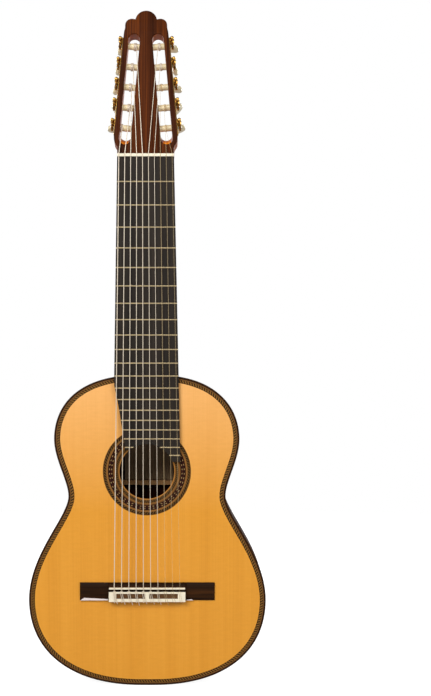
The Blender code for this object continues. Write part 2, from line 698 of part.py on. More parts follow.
def string_path(index):
    """Centre line of one string from its cut end at the bridge to its roller."""
    radius = STRING_DIAMETERS[index] / 2
    x, far = string_x(index, SADDLE_SPACING), string_x(index, NUT_SPACING)
    over = BLOCK_TOP - GAP - 1.2 - GAP - radius
    path = [
        (x, over, 145.5), (x, over, 135.0), (x, over + 1.0, 133.0), (x, TIE_HOLE_Y - 0.8, 132.4),
        (x, TIE_HOLE_Y, 133.2), (x, TIE_HOLE_Y, 147.7), (x, TIE_HOLE_Y - 0.9, 148.6),
        (x, STRING_Y_SADDLE + 0.4, SADDLE_Z0 - 0.9), (x, STRING_Y_SADDLE - radius, SADDLE_Z0 + 0.3),
        (x, STRING_Y_SADDLE - radius, SADDLE_Z1), (far, STRING_Y_NUT - radius, NUT_Z + 0.3),
        (far, STRING_Y_NUT - radius, NUT_Z + NUT_LENGTH - 0.3),
    ]
    roller_q = ROLLER_Q[index if index < 5 else 9 - index]
    sign = -1 if index < 5 else 1
    end_x = WINDING_X[index]
    a = (abs(end_x) - SIDE_X + roller_q * math.sin(SIDE_SPLAY)) / math.cos(SIDE_SPLAY)
    _, end_s = side_to_head(sign, a, roller_q)
    end_d = ROLLER_D - ROLLER_R - GAP - radius
    start_s, start_d = 1.0, -5.2 - radius
    for share in (k / 200 for k in range(1, 200)):
        s = start_s + (end_s - start_s) * share
        if abs(far + (end_x - far) * share) > slot_inner_x(s) + radius:
            break
    lip = -GAP - radius
    if start_d + (end_d - start_d) * share > lip and share > 0.2:
        path.append(head_place(far + (end_x - far) * share, s, lip))
    path.append(head_place(end_x, end_s, end_d))
    return path


def strings():
    for index in range(10):
        add(f"string_{index + 1}", *tube(string_path(index), STRING_DIAMETERS[index] / 2))


clear_scene()
rib("rib_bass", -1)
rib("rib_treble", 1)
back_plate()
soundboard()
bindings_and_linings()
blocks()
braces()
neck()
heel_cap()
fingerboard()
nut()
bridge()
saddle_and_frame()
headstock()
tuners()
strings()
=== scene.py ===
"""Looks for a ten-string classical guitar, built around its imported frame.

Dimensions are in millimetres and repeat the frame's own; pieces are placed in the
frame's coordinates: +Z up the neck, the soundboard faces -Y, +X is the treble side.
"""
import math

import bmesh
import bpy
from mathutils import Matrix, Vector
from mathutils.geometry import tessellate_polygon


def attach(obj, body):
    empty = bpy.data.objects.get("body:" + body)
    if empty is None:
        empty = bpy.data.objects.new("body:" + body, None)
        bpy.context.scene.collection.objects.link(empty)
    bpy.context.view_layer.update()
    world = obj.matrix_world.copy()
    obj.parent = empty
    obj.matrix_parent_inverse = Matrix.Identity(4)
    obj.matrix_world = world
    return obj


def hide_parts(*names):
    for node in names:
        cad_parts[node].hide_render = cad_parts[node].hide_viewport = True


MM = 0.001

# Body
BODY_LENGTH, FRONT = 480.0, -50.0
BACK_TAIL, BACK_HEEL, DOME = 50.0, 46.0, 3.0
TAIL_FLAT, HEEL_FLAT = 10.0, 8.0
LOWER_BOUT, WAIST, UPPER_BOUT = (182.9, 133.5), (120.3, 295.0), (141.4, 382.0)
RIB, PLATE, BINDING_DEPTH = 2.2, 2.5, 6.0
BINDING_IN, PURFLING_IN = 2.4, 9.3
HOLE_Z, HOLE_R, ROSETTE_R = 332.7, 42.0, 67.4
LABEL_LOW, LABEL_HIGH, LABEL_HALF = 313.0, 374.0, 39.0
PAINTED_LIGHT_FROM, PAINTED_LIGHT_TO = 0.27, 0.45  # metres up the body over which painted light makes the spruce paler towards the neck

# Neck and strings
SCALE, NUT_Z = 650.0, 803.0
NUT_LENGTH = 4.2  # drawn 1.3 mm shorter than the frame's nut
BOARD_TOP, BOARD_BASE = -56.0, -50.0
HALF_NUT, HALF_12TH = 42.4, 48.8
END_TREBLE, END_BASS = 347.7, 366.5
BASS_CUT = [(462.0, -48.6), (452.0, -46.3), (442.5, -44.4), (426.3, -41.5), (411.0, -39.2), (396.5, -37.0),
            (382.0, -34.9), (366.5, -33.0)]
DIAMETERS = [1.30, 1.20, 1.12, 1.05, 1.09, 0.91, 0.76, 1.02, 0.82, 0.71]
WOUND = 7
NUT_SPACING, SADDLE_SPACING = 8.8, 11.18
Y_NUT, Y_SADDLE = -57.6, -62.4

# Bridge
WING_HALF, BLOCK_HALF, SADDLE_HALF = 103.9, 58.8, 58.4
BRIDGE_Z0, BLOCK_Z1, SADDLE_Z0, SADDLE_Z1, BRIDGE_Z1 = 134.0, 147.8, 151.8, 154.4, 161.5
TIE_Y, BLOCK_TOP, FRAME_TOP = -55.4, -59.0, -60.5

# Head and tuners: s runs up the head's face from the nut, d into the wood, and on
# each side a runs out of the edge and q along it.
TILT = math.radians(12.0)
HEAD_Y, HEAD_Z = -52.5, 808.5
VENEER, HEAD_BACK = 2.4, 22.0
LOBE_R, LOBE_S = 16.4, 206.4
SPLAY = math.radians(5.0)
SIDE_X, SIDE_S = 47.7, 26.2
SLOT_A, SLOT_R, SLOT_Q0, SLOT_Q1, RAMP = -16.5, 8.7, 11.8, 153.7, 15.0
ROLLER_Q = [18.2 + 32.1 * k for k in range(5)]
ROLLER_D, ROLLER_R = 12.0, 4.7
COG_A, COG_HALF, COG_TEETH, COG_R = 4.7, 1.5, 14, 5.0
WORM_OFFSET, WORM_R = 7.6, 2.6
WORM_PITCH = 2 * math.pi * COG_R / COG_TEETH
LUG_D, LUG_HALF = (6.0, 18.0), 0.8
BUTTON_D0, BUTTON_D1 = 27.0, 45.0
# Degrees by which each button is turned at rest, from the nut up
TURNS = {-1: (0, 53, -52, -65, -67), 1: (20, 44, -14, -70, -10)}
WINDING_X = [-35.1, -23.7, -21.8, -19.6, -14.8, 18.0, 21.1, 21.1, 27.4, 28.9]

# Camera: place in metres, tilt in degrees
CAMERA_PLACE, CAMERA_TILT = (0.075, -2.0685, 0.48), 84.127
CAMERA_LENS, CAMERA_SHIFT = 68.444, (0.0281, 0.2339)

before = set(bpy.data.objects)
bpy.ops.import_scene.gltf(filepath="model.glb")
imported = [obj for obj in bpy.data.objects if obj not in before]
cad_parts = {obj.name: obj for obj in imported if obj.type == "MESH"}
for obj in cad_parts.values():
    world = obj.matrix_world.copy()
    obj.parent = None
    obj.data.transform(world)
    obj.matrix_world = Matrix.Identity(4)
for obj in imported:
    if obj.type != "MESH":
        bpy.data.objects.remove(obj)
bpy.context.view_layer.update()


# ------------------------------------------------------------------ shape helpers

def bezier(p0, p1, p2, p3, steps):
    found = []
    for k in range(steps):
        t = k / steps
        w = ((1 - t) ** 3, 3 * (1 - t) ** 2 * t, 3 * (1 - t) * t * t, t ** 3)
        found.append(tuple(sum(c * p[i] for c, p in zip(w, (p0, p1, p2, p3))) for i in (0, 1)))
    return found


def circle(cu, cv, radius, sides):
    return [(cu + radius * math.cos(2 * math.pi * k / sides), cv + radius * math.sin(2 * math.pi * k / sides))
            for k in range(sides)]


def arc(cu, cv, radius, start, end, steps):
    turns = [math.radians(start + (end - start) * k / steps) for k in range(steps + 1)]
    return [(cu + radius * math.cos(t), cv + radius * math.sin(t)) for t in turns]


def inward(loop, inset):
    """The closed loop moved in by an even distance."""
    moved = []
    for i, (x, z) in enumerate(loop):
        (ax, az), (bx, bz) = loop[i - 1], loop[(i + 1) % len(loop)]
        tx, tz = bx - ax, bz - az
        length = math.hypot(tx, tz)
        moved.append((x - inset * tz / length, z + inset * tx / length))
    return moved


def on_body(x, z, y):
    return (x, y, z)


def on_head(x, s, d):
    return (x, HEAD_Y + s * math.sin(TILT) + d * math.cos(TILT),
            HEAD_Z + s * math.cos(TILT) - d * math.sin(TILT))


def side_to_head(sign, a, q):
    x = SIDE_X + a * math.cos(SPLAY) - q * math.sin(SPLAY)
    return sign * x, SIDE_S + a * math.sin(SPLAY) + q * math.cos(SPLAY)


def on_side(sign):
    return lambda a, q, d: on_head(*side_to_head(sign, a, q), d)


def layered(levels, place):
    """A solid through levels of (depth, loops): outer loop first, holes after it."""
    points, faces, starts = [], [], []
    for depth, loops in levels:
        starts.append(len(points))
        points += [place(u, v, depth(u, v) if callable(depth) else depth) for loop in loops for u, v in loop]
    for low, high in zip(starts, starts[1:]):
        first = 0
        for count in (len(loop) for loop in levels[0][1]):
            for i in range(count):
                j = (i + 1) % count
                faces.append((low + first + i, low + first + j, high + first + j, high + first + i))
            first += count
    for start, (_, loops) in ((starts[0], levels[0]), (starts[-1], levels[-1])):
        flat = [[Vector((u, v, 0)) for u, v in loop] for loop in loops]
        faces += [tuple(start + i for i in corner) for corner in tessellate_polygon(flat)]
    return points, faces


def stack(rings, caps=True, closed=False):
    """A skin through rings of equal length, capped or joined end to end."""
    points = [p for ring in rings for p in ring]
    n, faces = len(rings[0]), []
    last = len(rings) if closed else len(rings) - 1
    for r in range(last):
        low, high = r * n, ((r + 1) % len(rings)) * n
        faces += [(low + i, low + (i + 1) % n, high + (i + 1) % n, high + i) for i in range(n)]
    if caps and not closed:
        faces += [tuple(range(n)), tuple(range(len(points) - n, len(points)))]
    return points, faces


def merged(parts):
    points, faces = [], []
    for more_points, more_faces in parts:
        base = len(points)
        points += more_points
        faces += [tuple(base + i for i in face) for face in more_faces]
    return points, faces


def tube(path, radius, sides=10):
    path = [Vector(p) for p in path]
    rings, across = [], Vector((1, 0.01, 0.02))
    for i, here in enumerate(path):
        before = (here - path[i - 1]).normalized() if i else None
        after = (path[i + 1] - here).normalized() if i + 1 < len(path) else None
        along = ((before or after) + (after or before)).normalized()
        across = (across - along * across.dot(along)).normalized()
        other = along.cross(across)
        wide = radius(i) if callable(radius) else radius
        rings.append([tuple(here + wide * (across * math.cos(t) + other * math.sin(t)))
                      for t in (2 * math.pi * k / sides for k in range(sides))])
    return stack(rings)


def smooth_path(points, steps=6):
    """Catmull-Rom curve through the points."""
    p = [Vector(q) for q in points]
    p = [2 * p[0] - p[1]] + p + [2 * p[-1] - p[-2]]
    found = []
    for i in range(1, len(p) - 2):
        for k in range(steps):
            t = k / steps
            found.append(0.5 * (2 * p[i] + (p[i + 1] - p[i - 1]) * t
                                + (2 * p[i - 1] - 5 * p[i] + 4 * p[i + 1] - p[i + 2]) * t * t
                                + (3 * p[i] - p[i - 1] - 3 * p[i + 1] + p[i + 2]) * t ** 3))
    return found + [p[-2]]


def box_loop(x0, x1, z0, z1):
    return [(x0, z0), (x1, z0), (x1, z1), (x0, z1)]


def piece(name, shape, material, body="guitar", replaces=(), sharp=38.0, bevel=0.0, segments=2,
          uvs=None):
    """One visible piece from (points, faces) in millimetres, riding on a body of the frame."""
    points, faces = shape
    mesh = bpy.data.meshes.new(name)
    mesh.from_pydata([tuple(c * MM for c in p) for p in points], [], faces)
    if uvs:
        layer = mesh.uv_layers.new(name="along")
        for polygon, corners in zip(mesh.polygons, uvs):
            for loop, uv in zip(polygon.loop_indices, corners):
                layer.data[loop].uv = uv
    skin = bmesh.new()
    skin.from_mesh(mesh)
    bmesh.ops.recalc_face_normals(skin, faces=skin.faces)
    skin.to_mesh(mesh)
    skin.free()
    mesh.shade_smooth()
    mesh.set_sharp_from_angle(angle=math.radians(sharp))
    made = bpy.data.objects.new(name, mesh)
    bpy.context.scene.collection.objects.link(made)
    if bevel:
        step = made.modifiers.new("edges", "BEVEL")
        step.width, step.segments = bevel * MM, segments
        step.limit_method, step.angle_limit = "ANGLE", math.radians(sharp)
        step.harden_normals = False
    mesh.materials.append(MATERIALS[material])
    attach(made, body)
    if replaces:
        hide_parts(*replaces)
    return made


# -------------------------------------------------------------------- materials

def srgb(r, g, b):
    linear = [c / 255 / 12.92 if c <= 10.3 else ((c / 255 + 0.055) / 1.055) ** 2.4 for c in (r, g, b)]
    return (*linear, 1.0)


class Shader:
    """Small helper to lay out one material's nodes."""

    def __init__(self, name, rough=0.4, metallic=0.0, coat=0.0, coat_rough=0.05, specular=0.5, ior=1.5):
        self.material = bpy.data.materials.new(name)
        self.material.use_nodes = True
        self.nodes = self.material.node_tree.nodes
        self.links = self.material.node_tree.links
        self.out = self.nodes["Principled BSDF"]
        settings = {"Roughness": rough, "Metallic": metallic, "Coat Weight": coat,
                    "Coat Roughness": coat_rough,
                    "Specular IOR Level": specular, "IOR": ior}
        for socket, value in settings.items():
            self.out.inputs[socket].default_value = value

    def plug(self, value, socket):
        """Links another node's output to the socket, or sets the socket to a fixed value."""
        if isinstance(value, bpy.types.NodeSocket):
            self.links.new(value, socket)
        else:
            socket.default_value = value

    def add(self, kind, **inputs):
        node = self.nodes.new(kind)
        for key, value in inputs.items():
            if isinstance(value, bpy.types.NodeSocket) or key in node.inputs:
                self.plug(value, node.inputs[key])
            else:
                setattr(node, key, value)
        return node

    def math(self, operation, a, b=0.0, c=None):
        node = self.nodes.new("ShaderNodeMath")
        node.operation = operation
        for socket, value in zip(node.inputs, (a, b) if c is None else (a, b, c)):
            self.plug(value, socket)
        return node.outputs[0]

    def coords(self, scale=(1, 1, 1), tilt=0.0, source="Object", mirror=False):
        vector = self.add("ShaderNodeTexCoord").outputs[source]
        if mirror:
            parts = self.add("ShaderNodeSeparateXYZ", Vector=vector)
            vector = self.add("ShaderNodeCombineXYZ", X=self.math("ABSOLUTE", parts.outputs[0]),
                              Y=parts.outputs[1], Z=parts.outputs[2]).outputs[0]
        if tilt:
            turned = self.add("ShaderNodeMapping", Vector=vector)
            turned.inputs["Rotation"].default_value = (tilt, 0, 0)
            vector = turned.outputs[0]
        mapping = self.add("ShaderNodeMapping", Vector=vector)
        mapping.inputs["Scale"].default_value = scale
        return mapping.outputs[0]

    def noise(self, vector, scale=1.0, detail=3.0, rough=0.55, distortion=0.0):
        node = self.add("ShaderNodeTexNoise", Vector=vector, Scale=scale, Detail=detail, Roughness=rough,
                        Distortion=distortion)
        return node.outputs["Fac"]

    def ramp(self, value, stops, mode="LINEAR"):
        node = self.add("ShaderNodeValToRGB", Fac=value)
        node.color_ramp.interpolation = mode
        elements = node.color_ramp.elements
        while len(elements) < len(stops):
            elements.new(0.5)
        for element, (at, colour) in zip(elements, stops):
            element.position, element.color = at, colour
        return node.outputs["Color"]

    def mix(self, kind, factor, a, b):
        node = self.nodes.new("ShaderNodeMix")
        node.data_type, node.blend_type = "RGBA", kind
        # Sockets 6 and 7 are the two colours.
        for socket, value in ((0, factor), (6, a), (7, b)):
            self.plug(value, node.inputs[socket])
        return node.outputs[2]

    def colour(self, value):
        self.plug(value, self.out.inputs["Base Color"])

    def roughness(self, value, low, high):
        spread = self.add("ShaderNodeMapRange", Value=value)
        spread.inputs["To Min"].default_value, spread.inputs["To Max"].default_value = low, high
        self.links.new(spread.outputs[0], self.out.inputs["Roughness"])

    def bump(self, value, strength, distance):
        node = self.add("ShaderNodeBump", Height=value, Strength=strength, Distance=distance)
        self.links.new(node.outputs[0], self.out.inputs["Normal"])


def wood(name, stops, across=140.0, along=3.0, broad=22.0, axis=2, tilt=0.0, mirror=False, pores=0.25,
         rough=(0.25, 0.42), coat=0.5, specular=0.4, bump=0.08, wave=0.0, cut=None):
    """Streaked wood: fine and broad figure stretched along one axis, dark pores, a polished coat.

    With cut, faces that look neither forwards nor backwards are multiplied by that colour, as painted shade
    on sideways faces such as slot walls.
    """
    shade = Shader(name, coat=coat, coat_rough=0.08, specular=specular)
    stretch = lambda high, low: tuple(low if i == axis else high for i in range(3))
    fine = shade.noise(shade.coords(stretch(across, along), tilt, mirror=mirror), 1.0, 5.0, 0.6, wave)
    wide = shade.noise(shade.coords(stretch(broad, along * 0.5), tilt, mirror=mirror), 1.0, 2.0, 0.5, wave)
    figure = shade.math("ADD", shade.math("MULTIPLY", fine, 0.5), shade.math("MULTIPLY", wide, 0.5))
    tone = shade.ramp(figure, stops)
    pore = shade.noise(shade.coords(stretch(1500.0, 45.0), tilt, mirror=mirror), 1.0, 2.0)
    dark = shade.ramp(pore, [(0.36, (0.45, 0.4, 0.38, 1)), (0.5, (1, 1, 1, 1))])
    figured = shade.mix("MULTIPLY", pores, tone, dark)
    # Painted shade: sideways faces, such as slot walls, are darkened by the cut colour.
    if cut:
        facing = shade.add("ShaderNodeSeparateXYZ", Vector=shade.add("ShaderNodeTexCoord").outputs["Normal"])
        edge = shade.math("LESS_THAN", shade.math("ABSOLUTE", facing.outputs[1]), 0.35)
        figured = shade.mix("MULTIPLY", edge, figured, cut)
    shade.colour(figured)
    shade.roughness(fine, *rough)
    shade.bump(pore, bump, 0.0002)
    return shade.material


def spruce():
    """Straight-grained top: fine lines, broad bands, a faint cross silk, and painted light that makes it
    paler towards the neck.
    """
    shade = Shader("soundboard_spruce", coat=0.12, coat_rough=0.15, specular=0.2)
    fine = shade.noise(shade.coords((900, 60, 3.0)), 1.0, 3.0, 0.6)
    wide = shade.noise(shade.coords((55, 10, 1.2)), 1.0, 3.0, 0.6)
    silk = shade.noise(shade.coords((60, 60, 260)), 1.0, 4.0, 0.6)
    figure = shade.math("ADD", shade.math("MULTIPLY", fine, 0.45), shade.math("MULTIPLY", wide, 0.55))
    # Painted light: lower is the spruce in painted shade low on the body, upper the same spruce painted lit
    # towards the neck, mixed by height.
    lower = shade.ramp(figure,
                       [(0.30, srgb(217, 145, 44)), (0.5, srgb(224, 152, 49)), (0.70, srgb(230, 159, 56))])
    upper = shade.ramp(figure,
                       [(0.30, srgb(235, 170, 94)), (0.5, srgb(240, 176, 101)), (0.70, srgb(244, 182, 108))])
    height = shade.add("ShaderNodeMapRange",
                       Value=shade.add("ShaderNodeSeparateXYZ", Vector=shade.coords()).outputs[2])
    for socket, value in (("From Min", PAINTED_LIGHT_FROM), ("From Max", PAINTED_LIGHT_TO)):
        height.inputs[socket].default_value = value
    tone = shade.mix("MIX", height.outputs[0], lower, upper)
    cross = shade.ramp(silk, [(0.35, (0.95, 0.94, 0.91, 1)), (0.62, (1.0, 1.0, 1.0, 1))])
    shade.colour(shade.mix("MULTIPLY", 0.7, tone, cross))
    shade.roughness(fine, 0.3, 0.45)
    shade.bump(fine, 0.05, 0.0001)
    return shade.material


def purfling():
    """Edge band: a diagonal rope pattern with a paler line along its outer side and a dark one inside."""
    shade = Shader("purfling_rope", rough=0.55, specular=0.08)
    uv = shade.add("ShaderNodeSeparateXYZ", Vector=shade.add("ShaderNodeTexCoord").outputs["UV"])
    u, v = uv.outputs[0], uv.outputs[1]
    slant = shade.math("ADD", u, shade.math("MULTIPLY", v, 1.1))
    rope = shade.math("PINGPONG", slant, 0.5)
    tone = shade.ramp(rope, [(0.14, srgb(26, 15, 6)), (0.36, srgb(134, 94, 42))])
    lines = shade.ramp(v, [(0.0, srgb(50, 28, 10)), (0.12, srgb(124, 84, 42)), (0.26, srgb(50, 28, 10)),
                           (0.33, (1, 1, 1, 1)), (0.89, srgb(50, 28, 10))], "CONSTANT")
    plain_part = shade.math("GREATER_THAN", shade.math("ABSOLUTE", shade.math("SUBTRACT", v, 0.61)), 0.29)
    rows = shade.mix("MULTIPLY", 1.0, tone, lines)
    shade.colour(shade.mix("MIX", plain_part, rows, lines))
    return shade.material


ROSETTE_RINGS = [
    (0.0, (176, 118, 52)), (0.055, (50, 30, 12)), (0.08, (128, 86, 40)), (0.10, (40, 24, 10)),
    (0.225, (50, 30, 12)),
    (0.245, (126, 84, 38)), (0.355, (34, 18, 8)), (0.375, (104, 66, 30)), (0.395, (28, 13, 7)),
    (0.42, (34, 12, 6)),
    (0.665, (24, 12, 6)), (0.69, (134, 90, 42)), (0.80, (40, 24, 10)), (0.93, (30, 18, 8)),
    (0.95, (112, 74, 32)),
    (0.98, (56, 34, 14)),
]


def rosette_material():
    """Rings by distance from the hole's centre: plain lines, two hatched bands and a mosaic."""
    shade = Shader("rosette_mosaic", rough=0.5, specular=0.08)
    place = shade.add("ShaderNodeSeparateXYZ", Vector=shade.coords((1000, 1000, 1000)))
    x, z = place.outputs[0], shade.math("SUBTRACT", place.outputs[2], HOLE_Z)
    radius = shade.math("SQRT", shade.math("ADD", shade.math("MULTIPLY", x, x), shade.math("MULTIPLY", z, z)))
    share = shade.math("DIVIDE", shade.math("SUBTRACT", radius, HOLE_R), ROSETTE_R - HOLE_R)
    turn = shade.math("DIVIDE", shade.math("ARCTAN2", z, x), 2 * math.pi)

    def cells(count, slant=0.0):
        at = shade.math("ADD", shade.math("MULTIPLY", turn, count), shade.math("MULTIPLY", share, slant))
        return shade.math("FRACT", shade.math("ADD", at, 100.0))

    def band(low, high):
        return shade.math("LESS_THAN",
                          shade.math("ABSOLUTE", shade.math("SUBTRACT", share, (low + high) / 2)),
                          (high - low) / 2)

    rings = shade.ramp(share, [(at, srgb(*rgb)) for at, rgb in ROSETTE_RINGS], "CONSTANT")
    hatch = shade.ramp(shade.math("PINGPONG", cells(96, 6.0), 0.5),
                       [(0.2, srgb(12, 7, 2)), (0.36, srgb(108, 78, 36))])
    for low, high in ((0.11, 0.222), (0.805, 0.925)):
        rings = shade.mix("MIX", band(low, high), rings, hatch)
    weave = shade.math("PINGPONG", cells(40, 0.0), 0.5)
    zigzag = shade.math("ABSOLUTE", shade.math("SUBTRACT", shade.math("SUBTRACT", share, 0.535),
                                               shade.math("MULTIPLY", shade.math("SUBTRACT", weave, 0.25),
                                                          0.34)))
    rings = shade.mix("MIX", shade.math("MULTIPLY", shade.math("LESS_THAN", zigzag, 0.016), 0.8), rings,
                      srgb(84, 36, 18))
    dot_u = shade.math("ABSOLUTE", shade.math("SUBTRACT", cells(52), 0.5))
    for row in (0.47, 0.60):
        dot_v = shade.math("ABSOLUTE", shade.math("SUBTRACT", share, row))
        spot = shade.math("MULTIPLY", shade.math("LESS_THAN", dot_u, 0.17),
                          shade.math("LESS_THAN", dot_v, 0.016))
        rings = shade.mix("MIX", shade.math("MULTIPLY", spot, 0.9), rings, srgb(186, 152, 100))
    shade.colour(rings)
    return shade.material


def plain(name, colour, vary=0.12, scale=300.0, rough=(0.3, 0.45), coat=0.0, specular=0.5, metallic=0.0,
          bump=0.02,
          stretch=(1, 1, 1)):
    """An even material with a little mottling, for bone, plastic, metal and paper."""
    shade = Shader(name, coat=coat, coat_rough=0.08, specular=specular, metallic=metallic)
    mottle = shade.noise(shade.coords(tuple(scale * s for s in stretch)), 1.0, 4.0, 0.6)
    low = tuple(c * (1 - vary) for c in colour[:3]) + (1.0,)
    high = tuple(min(1.0, c * (1 + vary * 0.6)) for c in colour[:3]) + (1.0,)
    shade.colour(shade.ramp(mottle, [(0.35, low), (0.65, high)]))
    shade.roughness(mottle, *rough)
    shade.bump(mottle, bump, 0.0001)
    return shade.material


def wound_wire():
    """Silver wire wound round a core: fine ridges across the string's length, each turn painted darker at its
    sides and paler at its crown as shade and highlight.
    """
    shade = Shader("wound_string", rough=0.35, metallic=0.2, specular=0.5)
    place = shade.add("ShaderNodeSeparateXYZ", Vector=shade.coords((1, 1, 1)))
    ridges = shade.math("PINGPONG", shade.math("MULTIPLY", place.outputs[2], 2400.0), 0.5)
    # Painted shade and highlight: the colour is darkest between turns and palest on each turn's crown.
    shade.colour(shade.ramp(ridges, [(0.1, srgb(214, 198, 174)), (0.6, srgb(255, 244, 226))]))
    shade.bump(ridges, 0.3, 0.0001)
    return shade.material


def nylon():
    shade = Shader("nylon_string", rough=0.45, specular=0.25)
    mottle = shade.noise(shade.coords((200, 200, 30)), 1.0, 2.0)
    shade.colour(shade.ramp(mottle, [(0.3, srgb(214, 188, 142)), (0.7, srgb(226, 200, 154))]))
    shade.out.inputs["Alpha"].default_value = 0.24
    return shade.material


ROSEWOOD = [(0.34, srgb(12, 2, 1)), (0.44, srgb(30, 7, 2)), (0.52, srgb(48, 15, 4)), (0.60, srgb(76, 32, 9)),
            (0.70, srgb(34, 9, 3))]
VENEER_WOOD = [(0.36, srgb(28, 9, 2)), (0.5, srgb(62, 27, 9)), (0.64, srgb(112, 54, 16))]
NECK_WOOD = [(0.34, srgb(190, 96, 8)), (0.5, srgb(222, 122, 12)), (0.66, srgb(242, 148, 24))]
MATERIALS = {
    "spruce": spruce(),
    "purfling": purfling(),
    "rosette": rosette_material(),
    "rosewood_back": wood("rosewood_back", ROSEWOOD, 190, 1.6, 60, mirror=True, specular=0.04, coat=0.03),
    "rosewood_ribs": wood("rosewood_ribs", ROSEWOOD, 5.0, 170, 5.0, axis=1, specular=0.03, coat=0.0,
                          rough=(0.5, 0.65)),
    "veneer": wood("head_veneer_rosewood", VENEER_WOOD, 260, 3, 45, tilt=TILT, rough=(0.5, 0.65),
                   specular=0.05, coat=0.0),
    "cap": wood("heel_cap_rosewood", VENEER_WOOD, 150, 3, 60, specular=0.1, coat=0.2),
    "bridge": wood("bridge_rosewood",
                   [(0.36, srgb(18, 8, 2)), (0.5, srgb(38, 20, 6)), (0.64, srgb(72, 40, 14))],
                   150, 4, 60, axis=0, rough=(0.45, 0.6), specular=0.08, coat=0.0),
    "binding": plain("binding_rosewood", srgb(52, 29, 10), 0.35, 260, (0.55, 0.7), specular=0.04),
    "back_line": wood("back_purfling", [(0.35, srgb(128, 66, 20)), (0.65, srgb(176, 104, 40))], 300, 30, 60,
                      specular=0.3, coat=0.3),
    "neck": wood("neck_cedar", NECK_WOOD, 170, 3.5, 28, pores=0.35, coat=0.9, specular=0.35),
    # The head's slot walls and sides are multiplied darker: painted shade.
    "head": wood("head_cedar_painted_side_shade", NECK_WOOD, 170, 3.5, 28, tilt=TILT, pores=0.35, coat=0.05, specular=0.1,
                 cut=(0.42, 0.3, 0.22, 1)),
    "ebony": wood("fingerboard_ebony", [(0.35, srgb(26, 21, 17)), (0.65, srgb(50, 42, 35))], 260, 4, 60,
                  pores=0.4, rough=(0.45, 0.6), coat=0.0, specular=0.15),
    "inside": wood("inner_spruce", [(0.35, srgb(158, 108, 60)), (0.65, srgb(198, 150, 94))], 400, 6, 40,
                   coat=0.0,
                   rough=(0.6, 0.75)),
    "bone": plain("bone", srgb(240, 230, 205), 0.06, 500, (0.25, 0.4), coat=0.2),
    "fret": plain("fret_metal", srgb(206, 184, 142), 0.05, 800, (0.3, 0.42), metallic=0.8),
    "gold": plain("gold_plate", srgb(204, 158, 80), 0.10, 700, (0.12, 0.24), metallic=1.0),
    "bronze": plain("cog_bronze", srgb(150, 104, 44), 0.2, 900, (0.28, 0.42), metallic=1.0),
    "steel": plain("axle_steel", srgb(170, 160, 146), 0.1, 900, (0.25, 0.4), metallic=1.0),
    "roller": plain("roller_plastic", srgb(226, 209, 166), 0.06, 260, (0.35, 0.5), coat=0.1),
    "button": plain("button_pearl", srgb(222, 208, 170), 0.1, 180, (0.25, 0.4), coat=0.3),
    "paper": plain("label_paper", srgb(150, 124, 96), 0.06, 120, (0.8, 0.9), specular=0.05),
    # Near-white on dark rosewood: a painted highlight, the reflection on the wings' lower bevels painted in
    # as colour.
    "chamfer": plain("chamfer_painted_highlight", srgb(232, 218, 214), 0.05, 300, (0.15, 0.25), coat=0.5),
    "block_window": plain("tie_block_inlay", srgb(96, 64, 34), 0.4, 900, (0.4, 0.5), specular=0.2,
                          stretch=(0.05, 1, 1)),
    "wound": wound_wire(),
    "nylon": nylon(),
}


# ------------------------------------------------------------------------- body

def half_outline(detail=1.0):
    tail, heel = (TAIL_FLAT, 0.0), (HEEL_FLAT, BODY_LENGTH)
    (lx, lz), (wx, wz), (ux, uz) = LOWER_BOUT, WAIST, UPPER_BOUT
    n = lambda count: int(count * detail)
    points = bezier(tail, (tail[0] + 112.5, 0), (lx, lz - 79), (lx, lz), n(34))
    points += bezier((lx, lz), (lx, lz + 71), (wx, wz - 31), (wx, wz), n(26))
    points += bezier((wx, wz), (wx, wz + 23), (ux, uz - 31), (ux, uz), n(18))
    points += bezier((ux, uz), (ux, uz + 30), (heel[0] + 118.6, BODY_LENGTH), heel, n(30))
    return points + [heel]


def outline(inset=0.0, detail=1.0):
    half = half_outline(detail)
    return inward(half + [(-x, z) for x, z in reversed(half)], inset)


def half_width(z):
    half = half_outline(0.5)
    for (xa, za), (xb, zb) in zip(half, half[1:]):
        if za <= z <= zb:
            return xa + (xb - xa) * (z - za) / (zb - za)
    return half[0][0]


def back_edge(x, z):
    return BACK_TAIL + (BACK_HEEL - BACK_TAIL) * z / BODY_LENGTH


def back_surface(x, z, wide=None):
    across = max(0.0, 1 - (x / (wide or half_width(z))) ** 2)
    return back_edge(x, z) + DOME * across * min(1.0, math.sin(math.pi * z / BODY_LENGTH) * 1.5)


def edge_band(name, material, inset0, inset1, y0, y1, replaces=(), period=4.2, bevel=0.0):
    """A strip round the outline; its UV runs along it in pattern lengths and across it from 0 to 1."""
    outer, inner = outline(inset0), outline(inset1)
    read = lambda y, x, z: y(x, z) if callable(y) else y
    rings = [[(ox, read(y0, ox, oz), oz), (ix, read(y0, ix, iz), iz), (ix, read(y1, ix, iz), iz),
              (ox, read(y1, ox, oz), oz)] for (ox, oz), (ix, iz) in zip(outer, inner)]
    points, faces = stack(rings, closed=True)
    lengths = [0.0]
    for (ax, az), (bx, bz) in zip(outer, outer[1:] + outer[:1]):
        lengths.append(lengths[-1] + math.hypot(bx - ax, bz - az) / period)
    uvs = []
    for number in range(len(faces)):
        r, i = divmod(number, 4)
        v0, v1 = ((0, 1), (1, 1), (1, 0), (0, 0))[i]
        uvs.append([(lengths[r], v0), (lengths[r], v1), (lengths[r + 1], v1), (lengths[r + 1], v0)])
    return piece(name, (points, faces), material, replaces=replaces, uvs=uvs, bevel=bevel)


